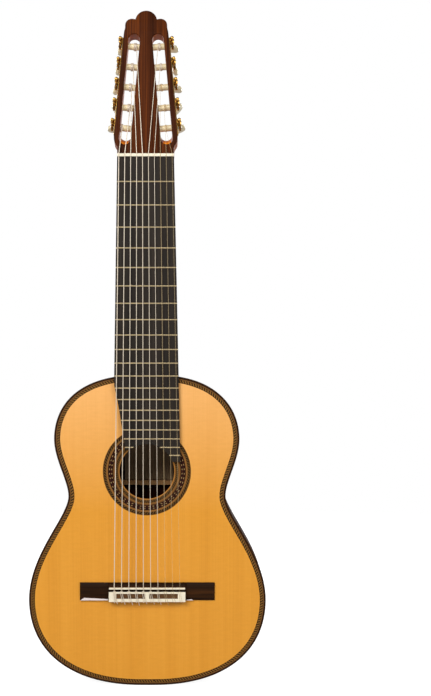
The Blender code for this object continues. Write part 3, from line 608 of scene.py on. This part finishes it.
def rib(name, sign):
    half, inner = half_outline(), outline(RIB)
    inner = inner[: len(half)]
    y0 = FRONT + BINDING_DEPTH - 0.1
    start = [((TAIL_FLAT + 0.05, 0.0), (TAIL_FLAT + 0.05, RIB))]
    end = [((0.0, BODY_LENGTH), (0.0, BODY_LENGTH - RIB))]
    rings = []
    for (ox, oz), (ix, iz) in start + list(zip(half[1:], inner[1:])) + end:
        y1 = back_edge(ox, oz) - BINDING_DEPTH + 0.1
        rings.append([(sign * ox, y0, oz), (sign * ox, y1, oz), (sign * ix, y1, iz), (sign * ix, y0, iz)])
    piece(name, stack(rings), "rosewood_ribs", replaces=(name,))


def back_plate():
    loop = outline(3.0)
    half = loop[: len(loop) // 2]
    columns = 28
    rings = []
    for x, z in half:
        wide = x + 3.0
        outer = [(x * (2 * k / columns - 1), z) for k in range(columns + 1)]
        ring = [(at, back_surface(at, z, wide), z) for at, z in outer]
        rings.append(ring + [(at, y - PLATE, z) for at, y, z in reversed(ring)])
    piece("back", stack(rings), "rosewood_back", replaces=("back_plate",))
    strip = []
    for x, z in half[6::3]:
        y = back_surface(0, z, x + 3.0)
        strip.append([(-0.9, y + 0.04, z), (0.9, y + 0.04, z), (0.9, y - 1, z), (-0.9, y - 1, z)])
    piece("back_centre_line", stack(strip), "binding")


def soundboard():
    hole = circle(0, HOLE_Z, ROSETTE_R, 128)
    piece("soundboard_top", layered([(FRONT, [outline(PURFLING_IN), hole]),
                                     (FRONT + PLATE, [outline(PURFLING_IN), hole])], on_body),
          "spruce", replaces=("soundboard",))
    rings = []
    profile = [(ROSETTE_R, FRONT), (HOLE_R + 0.7, FRONT), (HOLE_R + 0.2, FRONT + 0.2), (HOLE_R, FRONT + 0.7),
               (HOLE_R, FRONT + PLATE), (ROSETTE_R, FRONT + PLATE)]
    for k in range(128):
        c, s = math.cos(2 * math.pi * k / 128), math.sin(2 * math.pi * k / 128)
        rings.append([(r * c, y, HOLE_Z + r * s) for r, y in profile])
    piece("rosette_rings", stack(rings, closed=True), "rosette", replaces=("rosette",))


def body():
    soundboard()
    edge_band("front_binding", "binding", 0.0, BINDING_IN, FRONT, FRONT + BINDING_DEPTH,
              ("top_binding",), bevel=0.5)
    edge_band("front_purfling", "purfling", BINDING_IN, PURFLING_IN, FRONT, FRONT + PLATE)
    edge_band("back_binding_edge", "binding", 0.0, 1.6, lambda x, z: back_edge(x, z) - BINDING_DEPTH,
              back_edge,
              bevel=0.5)
    edge_band("back_binding_line", "back_line", 1.6, 3.1, lambda x, z: back_edge(x, z) - PLATE,
              lambda x, z: back_edge(x, z) + 0.05, ("back_binding",))
    rib("rib_bass", -1)
    rib("rib_treble", 1)
    back_plate()
    label = []
    for k in range(13):
        x = -LABEL_HALF + 2 * LABEL_HALF * k / 12
        y = [back_surface(x, z) - PLATE for z in (LABEL_LOW, LABEL_HIGH)]
        label.append([(x, y[0] - 0.3, LABEL_LOW), (x, y[0] - 0.1, LABEL_LOW), (x, y[1] - 0.1, LABEL_HIGH),
                      (x, y[1] - 0.3, LABEL_HIGH)])
    piece("paper_label", stack(label), "paper")


# ------------------------------------------------------- neck, board and bridge

def board_half(z):
    return HALF_NUT + (HALF_12TH - HALF_NUT) * (NUT_Z - z) / (SCALE / 2)


def shaft_back(z):
    rise = max(0.0, (z - 782.0) / 22.0) ** 2
    return -31.0 - 2.0 * max(0.0, z - 560.0) / 243.0 + 2.9 * min(1.0, rise)


def heel_profile(z):
    tip, foot, shaft = 524.0, BODY_LENGTH, shaft_back(z)
    if z < tip:
        share = max(0.0, (z - foot) / (tip - foot))
        return 10.5 * (1 - share ** 2) ** 0.8, 43.8
    fall = max(0.0, 1 - (z - tip) / 62.0) ** 3.2
    return 0.0, shaft + (43.8 - shaft) * fall


def heel_seat(x):
    half = half_outline()
    for (xa, za), (xb, zb) in zip(half[::-1], half[-2::-1]):
        if abs(x) <= xb:
            return za + (zb - za) * (max(abs(x), xa) - xa) / (xb - xa)
    return BODY_LENGTH


def neck_row(z, columns=44):
    wide = board_half(z)
    flat, spine = heel_profile(z)
    shaft = min(spine, shaft_back(z))
    inner = max(flat, 0.4)
    spots = [inner * k / 3 for k in (1, 2, 3)]
    spots += [inner + (wide - inner) * (1 - math.cos(math.pi * k / columns)) / 2
              for k in range(1, columns + 1)]
    row = []
    for x in [-x for x in reversed(spots)] + [0.0] + spots:
        u = abs(x) / wide
        round_y = FRONT + 1.5 + (shaft - FRONT - 1.5) * max(0.0, 1 - u ** 2.6) ** 0.5
        rise = max(0.0, 1 - max(0.0, abs(x) - flat) / (wide - flat)) ** 2.4
        row.append((x, max(round_y, round_y + (spine - round_y) * rise), z))
    return [(-wide, FRONT, z)] + row + [(wide, FRONT, z)]


def neck():
    heights = [480 + 2.0 * k for k in range(1, 21)] + [521.5, 523, 524.0, 524.6]
    heights += [525.5 + 60 * (k / 26) ** 1.5 for k in range(27)]
    heights += [600 + 12.7 * k for k in range(1, 16)] + [797.0]
    rows = [neck_row(z) for z in heights]
    seat = [(x, y, heel_seat(x) + 0.05) for x, y, z in neck_row(480.0)]
    rows = [seat] + rows
    top = []
    for x, y, z in neck_row(803.0):
        d = (y - HEAD_Y) / math.cos(TILT)
        top.append((x, y, HEAD_Z - d * math.sin(TILT)))
    rows.append(top)
    points, faces = stack(rows)
    n = len(rows[0])
    faces = faces[:-2] + [tuple(range(len(points) - n, len(points)))]
    # The end against the body is ruled across, because it follows the body's curved edge.
    lid = [len(points) + k for k in range(n)]
    points += [(x, FRONT, z) for x, y, z in seat]
    faces += [(k, k + 1, lid[k + 1], lid[k]) for k in range(1, n - 2)]
    faces += [(0, 1, lid[1]), (n - 1, lid[n - 2], n - 2)]
    piece("neck_shaft", (points, faces), "neck", replaces=("neck",), sharp=50)
    right = [(10.5 * (1 - (k / 16) ** 2) ** 0.8, 480.2 + 43.8 * k / 16) for k in range(16)]
    loop = right + [(0.0, 524.0)] + [(-x, z) for x, z in reversed(right)]
    piece("heel_cap_plate", layered([(43.6, [loop]), (45.9, [loop])], on_body), "cap",
          replaces=("heel_cap",), bevel=0.3)


def fret_z(number):
    return NUT_Z - SCALE * (1 - 2 ** (-number / 12))


def board_left(z):
    if z > BASS_CUT[0][0]:
        return -board_half(z)
    for (a, va), (b, vb) in zip(BASS_CUT, BASS_CUT[1:]):
        if z >= b:
            return va + (vb - va) * (a - z) / (a - b)
    return BASS_CUT[-1][1]


def fingerboard():
    top = NUT_Z - 0.05
    start = math.degrees(math.asin((END_TREBLE - HOLE_Z) / HOLE_R))
    stop = 180 - math.degrees(math.asin((END_BASS - HOLE_Z) / HOLE_R))
    loop = [(-board_half(top), top)] + [(v, z) for z, v in [(470.0, -board_half(470.0))] + BASS_CUT]
    loop += arc(0, HOLE_Z, HOLE_R, stop, start, 40) + [(board_half(END_TREBLE), END_TREBLE),
                                                       (board_half(top), top)]
    piece("fingerboard_blank", layered([(BOARD_BASE, [loop]), (BOARD_TOP, [loop])], on_body), "ebony",
          replaces=("fingerboard",), bevel=0.35)
    bars = []
    for number in range(1, 21):
        z = fret_z(number)
        left, right = board_left(z) + 0.2, board_half(z) - 0.2
        spans = [(left, right)]
        if z < HOLE_Z + HOLE_R:
            reach = math.sqrt(HOLE_R ** 2 - (z - HOLE_Z) ** 2) + 0.3
            spans = [(reach, right)] if z < END_BASS else [(left, -reach), (reach, right)]
        for x0, x1 in spans:
            crown = [(z + 0.95 * math.cos(t), BOARD_TOP - 1.0 * math.sin(t)) for t in
                     (math.pi * k / 8 for k in range(9))]
            rings = []
            for x, inner in ((x0, 0.35), (x0 + 0.5, 1.0), (x1 - 0.5, 1.0), (x1, 0.35)):
                rings.append([(x,
                               BOARD_TOP + 0.3 + (y - BOARD_TOP - 0.3) * inner if y < BOARD_TOP - 0.01 else y,
                               at)
                              for at, y in crown] + [(x, BOARD_TOP + 0.3, z - 0.95),
                                                     (x, BOARD_TOP + 0.3, z + 0.95)])
            bars.append(stack(rings))
    piece("frets", merged(bars), "fret", sharp=50)


def string_x(index, spacing):
    return (index - 4.5) * spacing


def nut_and_saddle():
    crest = []
    for index in range(10):
        x, r = string_x(index, NUT_SPACING), DIAMETERS[index] / 2
        crest += [(x - r - 0.35, -58.3), (x - r, Y_NUT + 0.02), (x + r, Y_NUT + 0.02), (x + r + 0.35, -58.3)]
    section = [(-HALF_NUT, -50.05), (-HALF_NUT, -57.9), (-HALF_NUT + 0.5, -58.3)] + crest
    section += [(HALF_NUT - 0.5, -58.3), (HALF_NUT, -57.9), (HALF_NUT, -50.05)]
    flat = lambda x, y, z: (x, y, z)
    piece("nut_bone", layered([(NUT_Z, [section]), (NUT_Z + NUT_LENGTH, [section])], flat), "bone",
          replaces=("nut",), bevel=0.2)
    crown = [(SADDLE_Z0, -53.0)] + [((SADDLE_Z0 + SADDLE_Z1) / 2 - 1.3 * math.cos(t),
                                     -61.1 - 1.25 * math.sin(t))
                                    for t in (math.pi * k / 10 for k in range(11))] + [(SADDLE_Z1, -53.0)]
    rings = [[(x, y, z) for z, y in crown] for x in (-SADDLE_HALF, SADDLE_HALF)]
    piece("saddle_bone", stack(rings), "bone", replaces=("saddle",), bevel=0.3)


def bridge():
    """Base with thin crowned wings, saddle ridge, channel and tie block."""
    base = -50.05
    block = [(BRIDGE_Z0, base), (BRIDGE_Z0, -57.6), (BRIDGE_Z0 + 0.5, -58.4), (BRIDGE_Z0 + 1.6, BLOCK_TOP),
             (BLOCK_Z1 - 0.4, BLOCK_TOP), (BLOCK_Z1, BLOCK_TOP + 0.4), (BLOCK_Z1 + 0.1, -53.6),
             (SADDLE_Z0 - 1.3, -53.6), (SADDLE_Z0 - 1.2, -56.2), (SADDLE_Z0 - 0.9, -56.5), (SADDLE_Z0, -56.5),
             (SADDLE_Z1, -56.5), (SADDLE_Z1 + 2.6, -56.3), (SADDLE_Z1 + 5.0, -55.6), (BRIDGE_Z1 - 1.2, -54.2),
             (BRIDGE_Z1, -52.2), (BRIDGE_Z1, base)]
    wing = []
    span = BRIDGE_Z1 - BRIDGE_Z0
    for z, y in block:
        share = (z - BRIDGE_Z0) / span
        crown = -53.4 + 1.6 * max(0.0, abs(share - 0.5) * 2 - 0.62) / 0.38
        wing.append((z, y if y == base else crown))
    wing[1] = (BRIDGE_Z0, -51.4)
    left = [(-WING_HALF, wing, 0.0), (-WING_HALF + 1.2, wing, 1.0), (-BLOCK_HALF - 2.0, wing, 1.0),
            (-BLOCK_HALF - 0.9, block, 0.35), (-BLOCK_HALF, block, 1.0)]
    sections = left + [(-x, shape, full) for x, shape, full in reversed(left)]
    rings = []
    for x, shape, full in sections:
        ring = []
        for (z, y), (_, low) in zip(shape, wing):
            floor = -51.6 if shape is wing else low
            ring.append((x, y if y == base else floor + (y - floor) * full, z))
        rings.append(ring)
    piece("bridge_base", stack(rings), "bridge", replaces=("bridge",), sharp=30, bevel=0.25)
    z0, z1 = BRIDGE_Z0 - 0.1, BLOCK_Z1 + 0.15
    outer = box_loop(-BLOCK_HALF - 0.1, BLOCK_HALF + 0.1, z0, z1)
    windows = [box_loop(-47.2, -3.2, BRIDGE_Z0 + 3.4, BLOCK_Z1 - 2.6),
               box_loop(3.2, 47.2, BRIDGE_Z0 + 3.4, BLOCK_Z1 - 2.6)]
    piece("tie_block_bone",
          layered([(FRAME_TOP, [outer] + windows), (BLOCK_TOP + 0.1, [outer] + windows)], on_body),
          "bone", replaces=("tie_block_frame",), bevel=0.3)
    for name, window in zip(("tie_block_inlay", "tie_block_inlay_treble"), windows):
        piece(name, layered([(BLOCK_TOP - 0.5, [window]), (BLOCK_TOP + 0.4, [window])], on_body),
              "block_window")
    strip = [(FRAME_TOP, z0 - 1.5), (-57.0, z0 - 1.5), (-57.0, z0 + 0.4), (FRAME_TOP, z0 + 0.4)]
    lip = layered([(x, [strip]) for x in (-BLOCK_HALF - 0.1, BLOCK_HALF + 0.1)], lambda y, z, x: (x, y, z))
    piece("tie_block_rear_strip", lip, "bone", bevel=0.3)
    # Pale wedges on the wings' lower front edges: the bevels are real, their near-white colour is a painted
    # highlight.
    for side, sign, reach, wide in (("bass", -1, 0.5, 3.8), ("treble", 1, 33.0, 1.6)):
        x0, x1 = BLOCK_HALF + 1.5, WING_HALF - reach
        edge = [(sign * x0, BRIDGE_Z0 - 0.1), (sign * x1, BRIDGE_Z0 - 0.1),
                (sign * (x1 - wide * 1.6), BRIDGE_Z0 + wide),
                (sign * x0, BRIDGE_Z0 + wide * 0.5)]
        piece(f"wing_chamfer_{side}", layered([(-53.75, [edge]), (-51.5, [edge])], on_body), "chamfer",
              bevel=0.1)


# ------------------------------------------------------------- head and tuners

def head_outline(start, inset=0.0):
    right = [(42.4, start), (42.4, 8.0), (42.7, 10.4), (43.8, 13.0), (45.6, 15.6), (46.9, 18.5), (47.5, 22.0),
             (47.7, 26.2), (33.75, 185.6), (33.2, 190.0), (32.3, 193.5), (31.7, 196.5), (31.7, 200.2),
             (31.2, 203.3),
             (29.6, 206.4), (27.1, 208.6), (23.9, 209.9), (20.7, 210.1), (18.1, 209.6)]
    loop = right + arc(0, LOBE_S, LOBE_R, 10.0, 170.0, 36) + [(-x, s) for x, s in reversed(right)]
    return [(x, max(start, s)) for x, s in inward(loop, inset)] if inset else loop


def slot_loop(sign, ramp, grow=0.0):
    lower = arc(SLOT_A, SLOT_Q0 - ramp, SLOT_R + grow, 180, 360, 16)
    upper = arc(SLOT_A, SLOT_Q1, SLOT_R + grow, 0, 180, 16)
    return [side_to_head(sign, a, q) for a, q in lower + upper]


def head():
    loops = lambda start, ramp, inset=0.0: [head_outline(start, inset), slot_loop(-1, ramp, inset),
                                            slot_loop(1, ramp, inset)]
    ramp = lambda d: RAMP * (1 - d / HEAD_BACK)
    levels = [(0.0, loops(-0.4, RAMP, 0.8)), (0.25, loops(-0.4, RAMP, 0.25)), (0.8, loops(-0.4, ramp(0.8))),
              (VENEER, loops(-0.4, ramp(VENEER)))]
    piece("head_front", layered(levels, on_head), "veneer", replaces=("head_veneer",),
          sharp=60)
    levels = [(VENEER, loops(-0.05, ramp(VENEER))), (HEAD_BACK - 0.8, loops(-0.05, ramp(HEAD_BACK - 0.8))),
              (HEAD_BACK - 0.25, loops(-0.05, 0.0, 0.25)), (HEAD_BACK, loops(-0.05, 0.0, 0.8))]
    piece("head_core", layered(levels, on_head), "head", replaces=("headstock",), sharp=60)
    sides = [(42.3, -0.05), (42.3, 8.0), (42.6, 10.4), (43.7, 13.0), (45.5, 15.6), (46.8, 18.5), (47.3, 21.0)]
    smile = [(47.3 * math.cos(math.pi * k / 32), 21.0 - 15.0 * math.sin(math.pi * k / 32))
             for k in range(1, 32)]
    apron = sides + smile + [(-x, s) for x, s in reversed(sides)]
    piece("head_back_apron", layered([(HEAD_BACK - 0.6, [apron]), (HEAD_BACK + 0.9, [apron])], on_head),
          "head", bevel=0.4, sharp=50)


def round_part(place, q, d, profile, sides=20):
    """Lathe about an axis that leaves the side of the head; profile is (a, radius)."""
    rings = [[place(a, q + u, d + v) for u, v in circle(0, 0, max(r, 0.02), sides)] for a, r in profile]
    return stack(rings)


def roller(index, sign, q):
    place, name, body_name = on_side(sign), f"roller_{index + 1}", f"roller_body_{index + 1}"
    profile = [(-30.3, 4.2), (-30.0, 4.7), (-26.4, 4.7), (-26.1, 5.0), (-25.2, 5.0), (-24.9, 4.7),
               (-17.6, 4.7),
               (-17.2, 5.0), (-15.6, 5.0), (-15.2, 4.7), (-8.4, 4.7), (-8.1, 5.0), (-7.2, 5.0), (-6.9, 4.7),
               (-0.9, 4.7),
               (-0.6, 4.4)]
    piece(f"string_roller_{index + 1}", round_part(place, q, ROLLER_D, profile, 28), "roller", body_name,
          (name,), sharp=60)
    low, high = COG_A - COG_HALF, COG_A + COG_HALF
    axle = [(-1.0, 2.3), (low, 2.3), (low, 3.0), (low + 0.1, 3.1), (high - 0.1, 3.1), (high, 3.0),
            (high + 0.1, 2.5),
            (high + 0.3, 2.45), (high + 1.1, 2.2), (high + 1.35, 1.5), (high + 1.4, 0.0)]
    piece(f"cog_screw_{index + 1}", round_part(place, q, ROLLER_D, axle, 20), "steel", body_name)
    rings = []
    for a in (low, low + 0.25, high - 0.25, high):
        twist = (a - COG_A) * WORM_PITCH / (2 * math.pi * WORM_R) / COG_R
        shrink = 0.2 if a in (low, high) else 0.0
        ring = []
        for tooth in range(COG_TEETH):
            for half, radius in ((-7.8, 4.2), (-1.7, 5.6), (1.7, 5.6), (7.8, 4.2)):
                t = math.radians(360 / COG_TEETH * tooth + half) + twist
                ring.append(place(a, q + (radius - shrink) * math.cos(t),
                                  ROLLER_D + (radius - shrink) * math.sin(t)))
        rings.append(ring)
    piece(f"cog_{index + 1}", stack(rings), "bronze", body_name, sharp=25)
    windings(index, sign, q)


def string_look(index):
    return ("wound", "wound_string") if index < WOUND else ("nylon", "nylon_string")


def windings(index, sign, q):
    """Turns of string round the roller, with the cut end held by them."""
    place, r = on_side(sign), DIAMETERS[index] / 2
    a0 = (abs(WINDING_X[index]) - SIDE_X + q * math.sin(SPLAY)) / math.cos(SPLAY)
    turns, steps = 3.5, 16
    path = []
    for k in range(int(turns * steps) + 1):
        t = 2 * math.pi * k / steps
        a = a0 + (k / steps) * r * 2.1
        path.append(place(a, q + (ROLLER_R + 0.3 + r) * math.sin(t),
                          ROLLER_D - (ROLLER_R + 0.3 + r) * math.cos(t)))
    end = place(a0 + 3.5 * r * 2.1 + 0.6, q + 3.0, ROLLER_D + ROLLER_R + 2.2)
    material, slot = string_look(index)
    piece(f"winding_{index + 1}", tube(path + [end], r, 8), material, f"roller_body_{index + 1}",
          sharp=60)


def worm_lattice(place, q, sides):
    """Helical thread that fades out at both ends, with its two end rings left open for the shaft."""
    fractions, radii = (-0.17, 0.17, 0.40, 0.60), (1.8, 1.8, 3.05, 3.05)
    points, faces, index = [], [], {}
    first, last = -8, 5

    def vertex(i, j):
        wrap, i = divmod(i, sides)
        j += 4 * wrap
        if (i, j) not in index:
            whole, part = divmod(j, 4)
            radius = radii[part] if first + 1 < j < last - 1 else radii[0]
            height = ROLLER_D + WORM_PITCH * (whole + fractions[part] + i / sides)
            turn = 2 * math.pi * i / sides
            index[(i, j)] = len(points)
            points.append(place(COG_A + radius * math.sin(turn), q + WORM_OFFSET - radius * math.cos(turn),
                                height))
        return index[(i, j)]

    for j in range(first, last):
        for i in range(sides):
            faces.append((vertex(i, j), vertex(i + 1, j), vertex(i + 1, j + 1), vertex(i, j + 1)))
    seams = [[vertex(i, end) for i in range(sides + 1)] for end in (first, last)]
    climbs = [[vertex(0, end + k) for k in (1, 2, 3)] for end in (first, last)]
    return points, faces, seams, climbs


def worm(index, sign, q):
    place, sides = on_side(sign), 24
    points, faces, (low, high), (low_climb, high_climb) = worm_lattice(place, q, sides)

    def ring(d, radius):
        start = len(points)
        for k in range(sides):
            t = 2 * math.pi * k / sides
            points.append(place(COG_A + radius * math.sin(t), q + WORM_OFFSET - radius * math.cos(t), d))
        return list(range(start, start + sides))

    def chain(rings):
        for a, b in zip(rings, rings[1:]):
            faces.extend((a[k], a[(k + 1) % sides], b[(k + 1) % sides], b[k]) for k in range(sides))
        faces.append(tuple(rings[-1]))

    inner = (LUG_D[0] + LUG_HALF + 0.1, LUG_D[1] - LUG_HALF - 0.1)
    front, back = ring(inner[0], 1.8), ring(inner[1], 1.8)
    for k in range(sides - 1):
        faces.append((low[k], low[k + 1], front[k + 1], front[k]))
    faces.append((low[sides - 1], low[sides], *reversed(low_climb), low[0], front[0], front[sides - 1]))
    faces.append((high[0], high[1], back[1], back[0], high[sides], *reversed(high_climb)))
    for k in range(1, sides):
        faces.append((high[k], high[k + 1], back[(k + 1) % sides], back[k]))
    ball = [ring(2.3 + 3.05 * math.cos(math.radians(t)),
                 3.05 * math.sin(math.radians(t))) for t in range(24, 180, 15)]
    chain([front, ring(inner[0], 1.15), ring(5.0, 1.15), ring(4.9, 1.9)] + ball)
    chain([back, ring(inner[1], 1.15), ring(LUG_D[1] + LUG_HALF + 0.1, 1.15),
           ring(LUG_D[1] + LUG_HALF + 0.1, 2.2),
           ring(20.2, 2.2), ring(20.4, 1.7), ring(BUTTON_D0 - 1.2, 1.7), ring(BUTTON_D0 - 1.0, 2.5),
           ring(BUTTON_D0 + 0.6, 2.5)])
    piece(f"worm_{index + 1}", (points, faces), "gold", f"button_body_{index + 1}", sharp=30)


def button(index, sign, q, turn):
    """Flattened rounded bar on the shaft, with a small brass pin in its end."""
    place = on_side(sign)
    c, s = math.cos(math.radians(turn)), math.sin(math.radians(turn))
    rings = []
    span = BUTTON_D1 - BUTTON_D0
    for share, wide, thick in ((0, 2.2, 2.2), (0.03, 2.9, 2.7), (0.12, 4.2, 3.0), (0.22, 6.6, 3.3),
                               (0.34, 8.4, 3.6),
                               (0.5, 9.3, 3.9), (0.7, 9.5, 4.0), (0.88, 9.3, 3.9), (0.96, 8.8, 3.5),
                               (1, 8.0, 2.8)):
        ring = []
        for k in range(32):
            t = 2 * math.pi * k / 32
            u = wide * math.copysign(abs(math.cos(t)) ** 0.62, math.cos(t))
            v = thick * math.copysign(abs(math.sin(t)) ** 0.75, math.sin(t))
            ring.append(place(COG_A + u * c - v * s, q + WORM_OFFSET + u * s + v * c,
                              BUTTON_D0 + span * share))
        rings.append(ring)
    body_name = f"button_body_{index + 1}"
    piece(f"button_{index + 1}", stack(rings), "button", body_name, (f"tuner_button_{index + 1}",),
          sharp=60)
    pin = [[place(COG_A + v, q + WORM_OFFSET + u, d) for u, v in circle(0, 0, r, 16)]
           for d, r in ((BUTTON_D1 - 0.4, 1.9), (BUTTON_D1 + 0.15, 1.9), (BUTTON_D1 + 0.3, 1.6),
                        (BUTTON_D1 + 0.35, 0.6))]
    piece(f"button_pin_{index + 1}", stack(pin), "gold", body_name, sharp=50)


def plate(side, sign):
    place = on_side(sign)
    loop = arc(13.2, ROLLER_D, 8.0, 90, 270, 12) + arc(151.4, ROLLER_D, 8.0, -90, 90, 12)
    holes = [circle(q, ROLLER_D, 2.6, 20) for q in ROLLER_Q]
    on_plate = lambda q, d, a: place(a, q, d)
    parts = [layered([(0.05, [loop] + holes), (1.3, [loop] + holes)], on_plate)]
    for q in ROLLER_Q:
        centre = q + WORM_OFFSET
        shape = [(1.2, centre - 2.9)] + arc(COG_A, centre, 2.9, -90, 90, 10) + [(1.2, centre + 2.9)]
        hole = circle(COG_A, centre, 1.25, 16)
        for d in LUG_D:
            parts.append(layered([(d - LUG_HALF, [shape, hole]), (d + LUG_HALF, [shape, hole])], place))
    piece(f"side_plate_{side}", merged(parts), "gold", replaces=(f"tuner_plate_{side}",),
          bevel=0.15, sharp=40)
    screws = []
    for q in [9.0] + [(a + b) / 2 - 2.5 for a, b in zip(ROLLER_Q, ROLLER_Q[1:])] + [154.8]:
        profile = [(1.1, 2.0), (1.35, 2.0), (1.75, 1.7), (1.95, 1.0), (2.0, 0.3)]
        screws.append(round_part(place, q, ROLLER_D, profile, 16))
    piece(f"plate_screws_{side}", merged(screws), "gold", sharp=50)


def tuners():
    for side, sign in (("bass", -1), ("treble", 1)):
        plate(side, sign)
    for index in range(10):
        sign, up = (-1, index) if index < 5 else (1, 9 - index)
        roller(index, sign, ROLLER_Q[up])
        worm(index, sign, ROLLER_Q[up])
        button(index, sign, ROLLER_Q[up], TURNS[sign][up])


# --------------------------------------------------------------------- strings

def slot_inner_x(s):
    (x0, s0), (x1, s1) = (side_to_head(1, SLOT_A - SLOT_R, q) for q in (SLOT_Q0, SLOT_Q1))
    return x0 + (x1 - x0) * (s - s0) / (s1 - s0)


def string_run(index):
    """From the tie hole over saddle and nut to the roller."""
    r = DIAMETERS[index] / 2
    x, far, end_x = string_x(index, SADDLE_SPACING), string_x(index, NUT_SPACING), WINDING_X[index]
    q = ROLLER_Q[index if index < 5 else 9 - index]
    a = (abs(end_x) - SIDE_X + q * math.sin(SPLAY)) / math.cos(SPLAY)
    end_s = side_to_head(1, a, q)[1]
    end_d = ROLLER_D - ROLLER_R - 0.3 - r
    path = [(x, TIE_Y, 134.2), (x, TIE_Y, 147.7), (x, TIE_Y - 0.9, 148.6),
            (x, Y_SADDLE + 0.5, SADDLE_Z0 - 0.8),
            (x, Y_SADDLE - r + 0.25, SADDLE_Z0 - 0.1), (x, Y_SADDLE - r, SADDLE_Z0 + 0.7),
            (x, Y_SADDLE - r, SADDLE_Z1 - 0.5),
            (far, Y_NUT - r, NUT_Z + 0.3), (far, Y_NUT - r, NUT_Z + NUT_LENGTH - 0.4)]
    start_s, start_d, lip = 1.0, -5.2 - r, -0.3 - r
    for k in range(1, 200):
        share = k / 200
        s = start_s + (end_s - start_s) * share
        if abs(far + (end_x - far) * share) > slot_inner_x(s) + r:
            break
    if start_d + (end_d - start_d) * share > lip and share > 0.2:
        path.append(on_head(far + (end_x - far) * share, s, lip))
    path.append(on_head(end_x, end_s, end_d))
    return path


def tie(index):
    """The knot: over the block, round the string and back, with a short cut tail."""
    r = DIAMETERS[index] / 2
    x = string_x(index, SADDLE_SPACING)
    lean = 2.6 + 0.5 * ((index * 7) % 3)
    top = FRAME_TOP - r - 0.05
    tail = 2.2 + 0.9 * ((index * 5) % 4)
    points = [(x, TIE_Y, 134.4), (x, TIE_Y - 0.2, 131.7), (x + 0.1, TIE_Y - 2.4, 131.2),
              (x + 0.3, top + 0.9, 131.4),
              (x + 0.5, top, 132.9), (x + 0.3 - lean * 0.2, top, 140.0), (x - lean * 0.55, top, 146.6),
              (x - lean * 0.6, top + 1.0, 148.3), (x - 0.4, top + 1.8, 149.0),
              (x + r + 0.8, top + 1.2, 148.6),
              (x + r + 0.9, top - 0.1, 147.2), (x + 0.9 + lean * 0.3, top - r, 142.0),
              (x + 1.4 + lean * 0.55, top - r, 136.0),
              (x + 1.8 + lean * 0.8, top + 0.0, 131.8), (x + 2.2 + lean, top + 1.2, 132.0 - tail)]
    return smooth_path(points, 5)


def strings():
    for index in range(10):
        r = DIAMETERS[index] / 2
        material, slot = string_look(index)
        piece(f"string_run_{index + 1}", tube(string_run(index), r, 12), material,
              replaces=(f"string_{index + 1}",), sharp=60)
        piece(f"string_tie_{index + 1}", tube(tie(index), r * 0.9, 8), material, sharp=60)


# ------------------------------------------------------- inside, floor and light

def inner_nodes():
    """Frame nodes whose own shape is right keep it and take a material."""
    for node in ("top_lining", "back_lining", "tail_block", "upper_harmonic_bar", "lower_harmonic_bar",
                 "fan_bracing",
                 "back_brace_1", "back_brace_2", "back_brace_3"):
        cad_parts[node].data.materials[0] = MATERIALS["inside"]
    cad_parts["neck_block"].data.materials[0] = MATERIALS["neck"]
    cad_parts["tail_strip"].data.materials[0] = MATERIALS["binding"]


def stage():
    mesh = bpy.data.meshes.new("floor")
    ring = circle(0, 0, 2.6, 96)
    mesh.from_pydata([(x, y, 0.0) for x, y in ring], [], [tuple(range(96))])
    floor = bpy.data.objects.new("floor", mesh)
    bpy.context.scene.collection.objects.link(floor)
    shade = Shader("floor_white", rough=0.8, specular=0.0)
    mottle = shade.noise(shade.coords((3, 3, 3)), 1.0, 2.0)
    shade.colour(shade.ramp(mottle, [(0.3, (0.28, 0.28, 0.28, 1)), (0.7, (0.3, 0.3, 0.3, 1))]))
    shade.out.inputs["Emission Color"].default_value = (1, 1, 1, 1)
    seen = shade.add("ShaderNodeLightPath").outputs["Is Camera Ray"]
    shade.links.new(shade.math("MULTIPLY_ADD", seen, 0.75, 0.2), shade.out.inputs["Emission Strength"])
    mesh.materials.append(shade.material)


def lamp(name, place, aim, size, power, height=None):
    light = bpy.data.lights.new(name, "AREA")
    light.energy, light.size = power, size
    if height:
        light.shape, light.size_y = "RECTANGLE", height
    made = bpy.data.objects.new(name, light)
    made.location = place
    made.rotation_euler = (Vector(aim) - Vector(place)).to_track_quat("-Z", "Y").to_euler()
    bpy.context.scene.collection.objects.link(made)


def light_and_camera():
    world = bpy.data.worlds.new("studio")
    bpy.context.scene.world = world
    world.use_nodes = True
    nodes, links = world.node_tree.nodes, world.node_tree.links
    back = nodes["Background"]
    back.inputs["Color"].default_value = (0.30, 0.30, 0.30, 1)
    white = nodes.new("ShaderNodeBackground")
    white.inputs["Color"].default_value = (1, 1, 1, 1)
    ray, choose = nodes.new("ShaderNodeLightPath"), nodes.new("ShaderNodeMixShader")
    links.new(ray.outputs["Is Camera Ray"], choose.inputs[0])
    links.new(back.outputs[0], choose.inputs[1])
    links.new(white.outputs[0], choose.inputs[2])
    links.new(choose.outputs[0], nodes["World Output"].inputs["Surface"])
    lamp("key", (-1.2, -2.3, 1.9), (0, 0, 0.55), 1.4, 61)
    lamp("fill", (1.6, -2.0, 1.6), (0, 0, 0.55), 1.4, 27)
    lamp("back_left", (1.3, 1.9, 1.5), (0, 0, 0.6), 0.4, 40, 1.6)
    lamp("back_right", (-1.3, 1.9, 1.5), (0, 0, 0.6), 0.4, 36, 1.6)
    bpy.context.scene.view_settings.view_transform = "Standard"
    camera = bpy.data.cameras.new("camera")
    camera.lens, camera.sensor_width = CAMERA_LENS, 36.0
    camera.shift_x, camera.shift_y = CAMERA_SHIFT
    made = bpy.data.objects.new("camera", camera)
    made.location, made.rotation_euler = CAMERA_PLACE, (math.radians(CAMERA_TILT), 0, 0)
    bpy.context.scene.collection.objects.link(made)
    bpy.context.scene.camera = made


body()
neck()
fingerboard()
nut_and_saddle()
bridge()
head()
tuners()
strings()
inner_nodes()
stage()
light_and_camera()
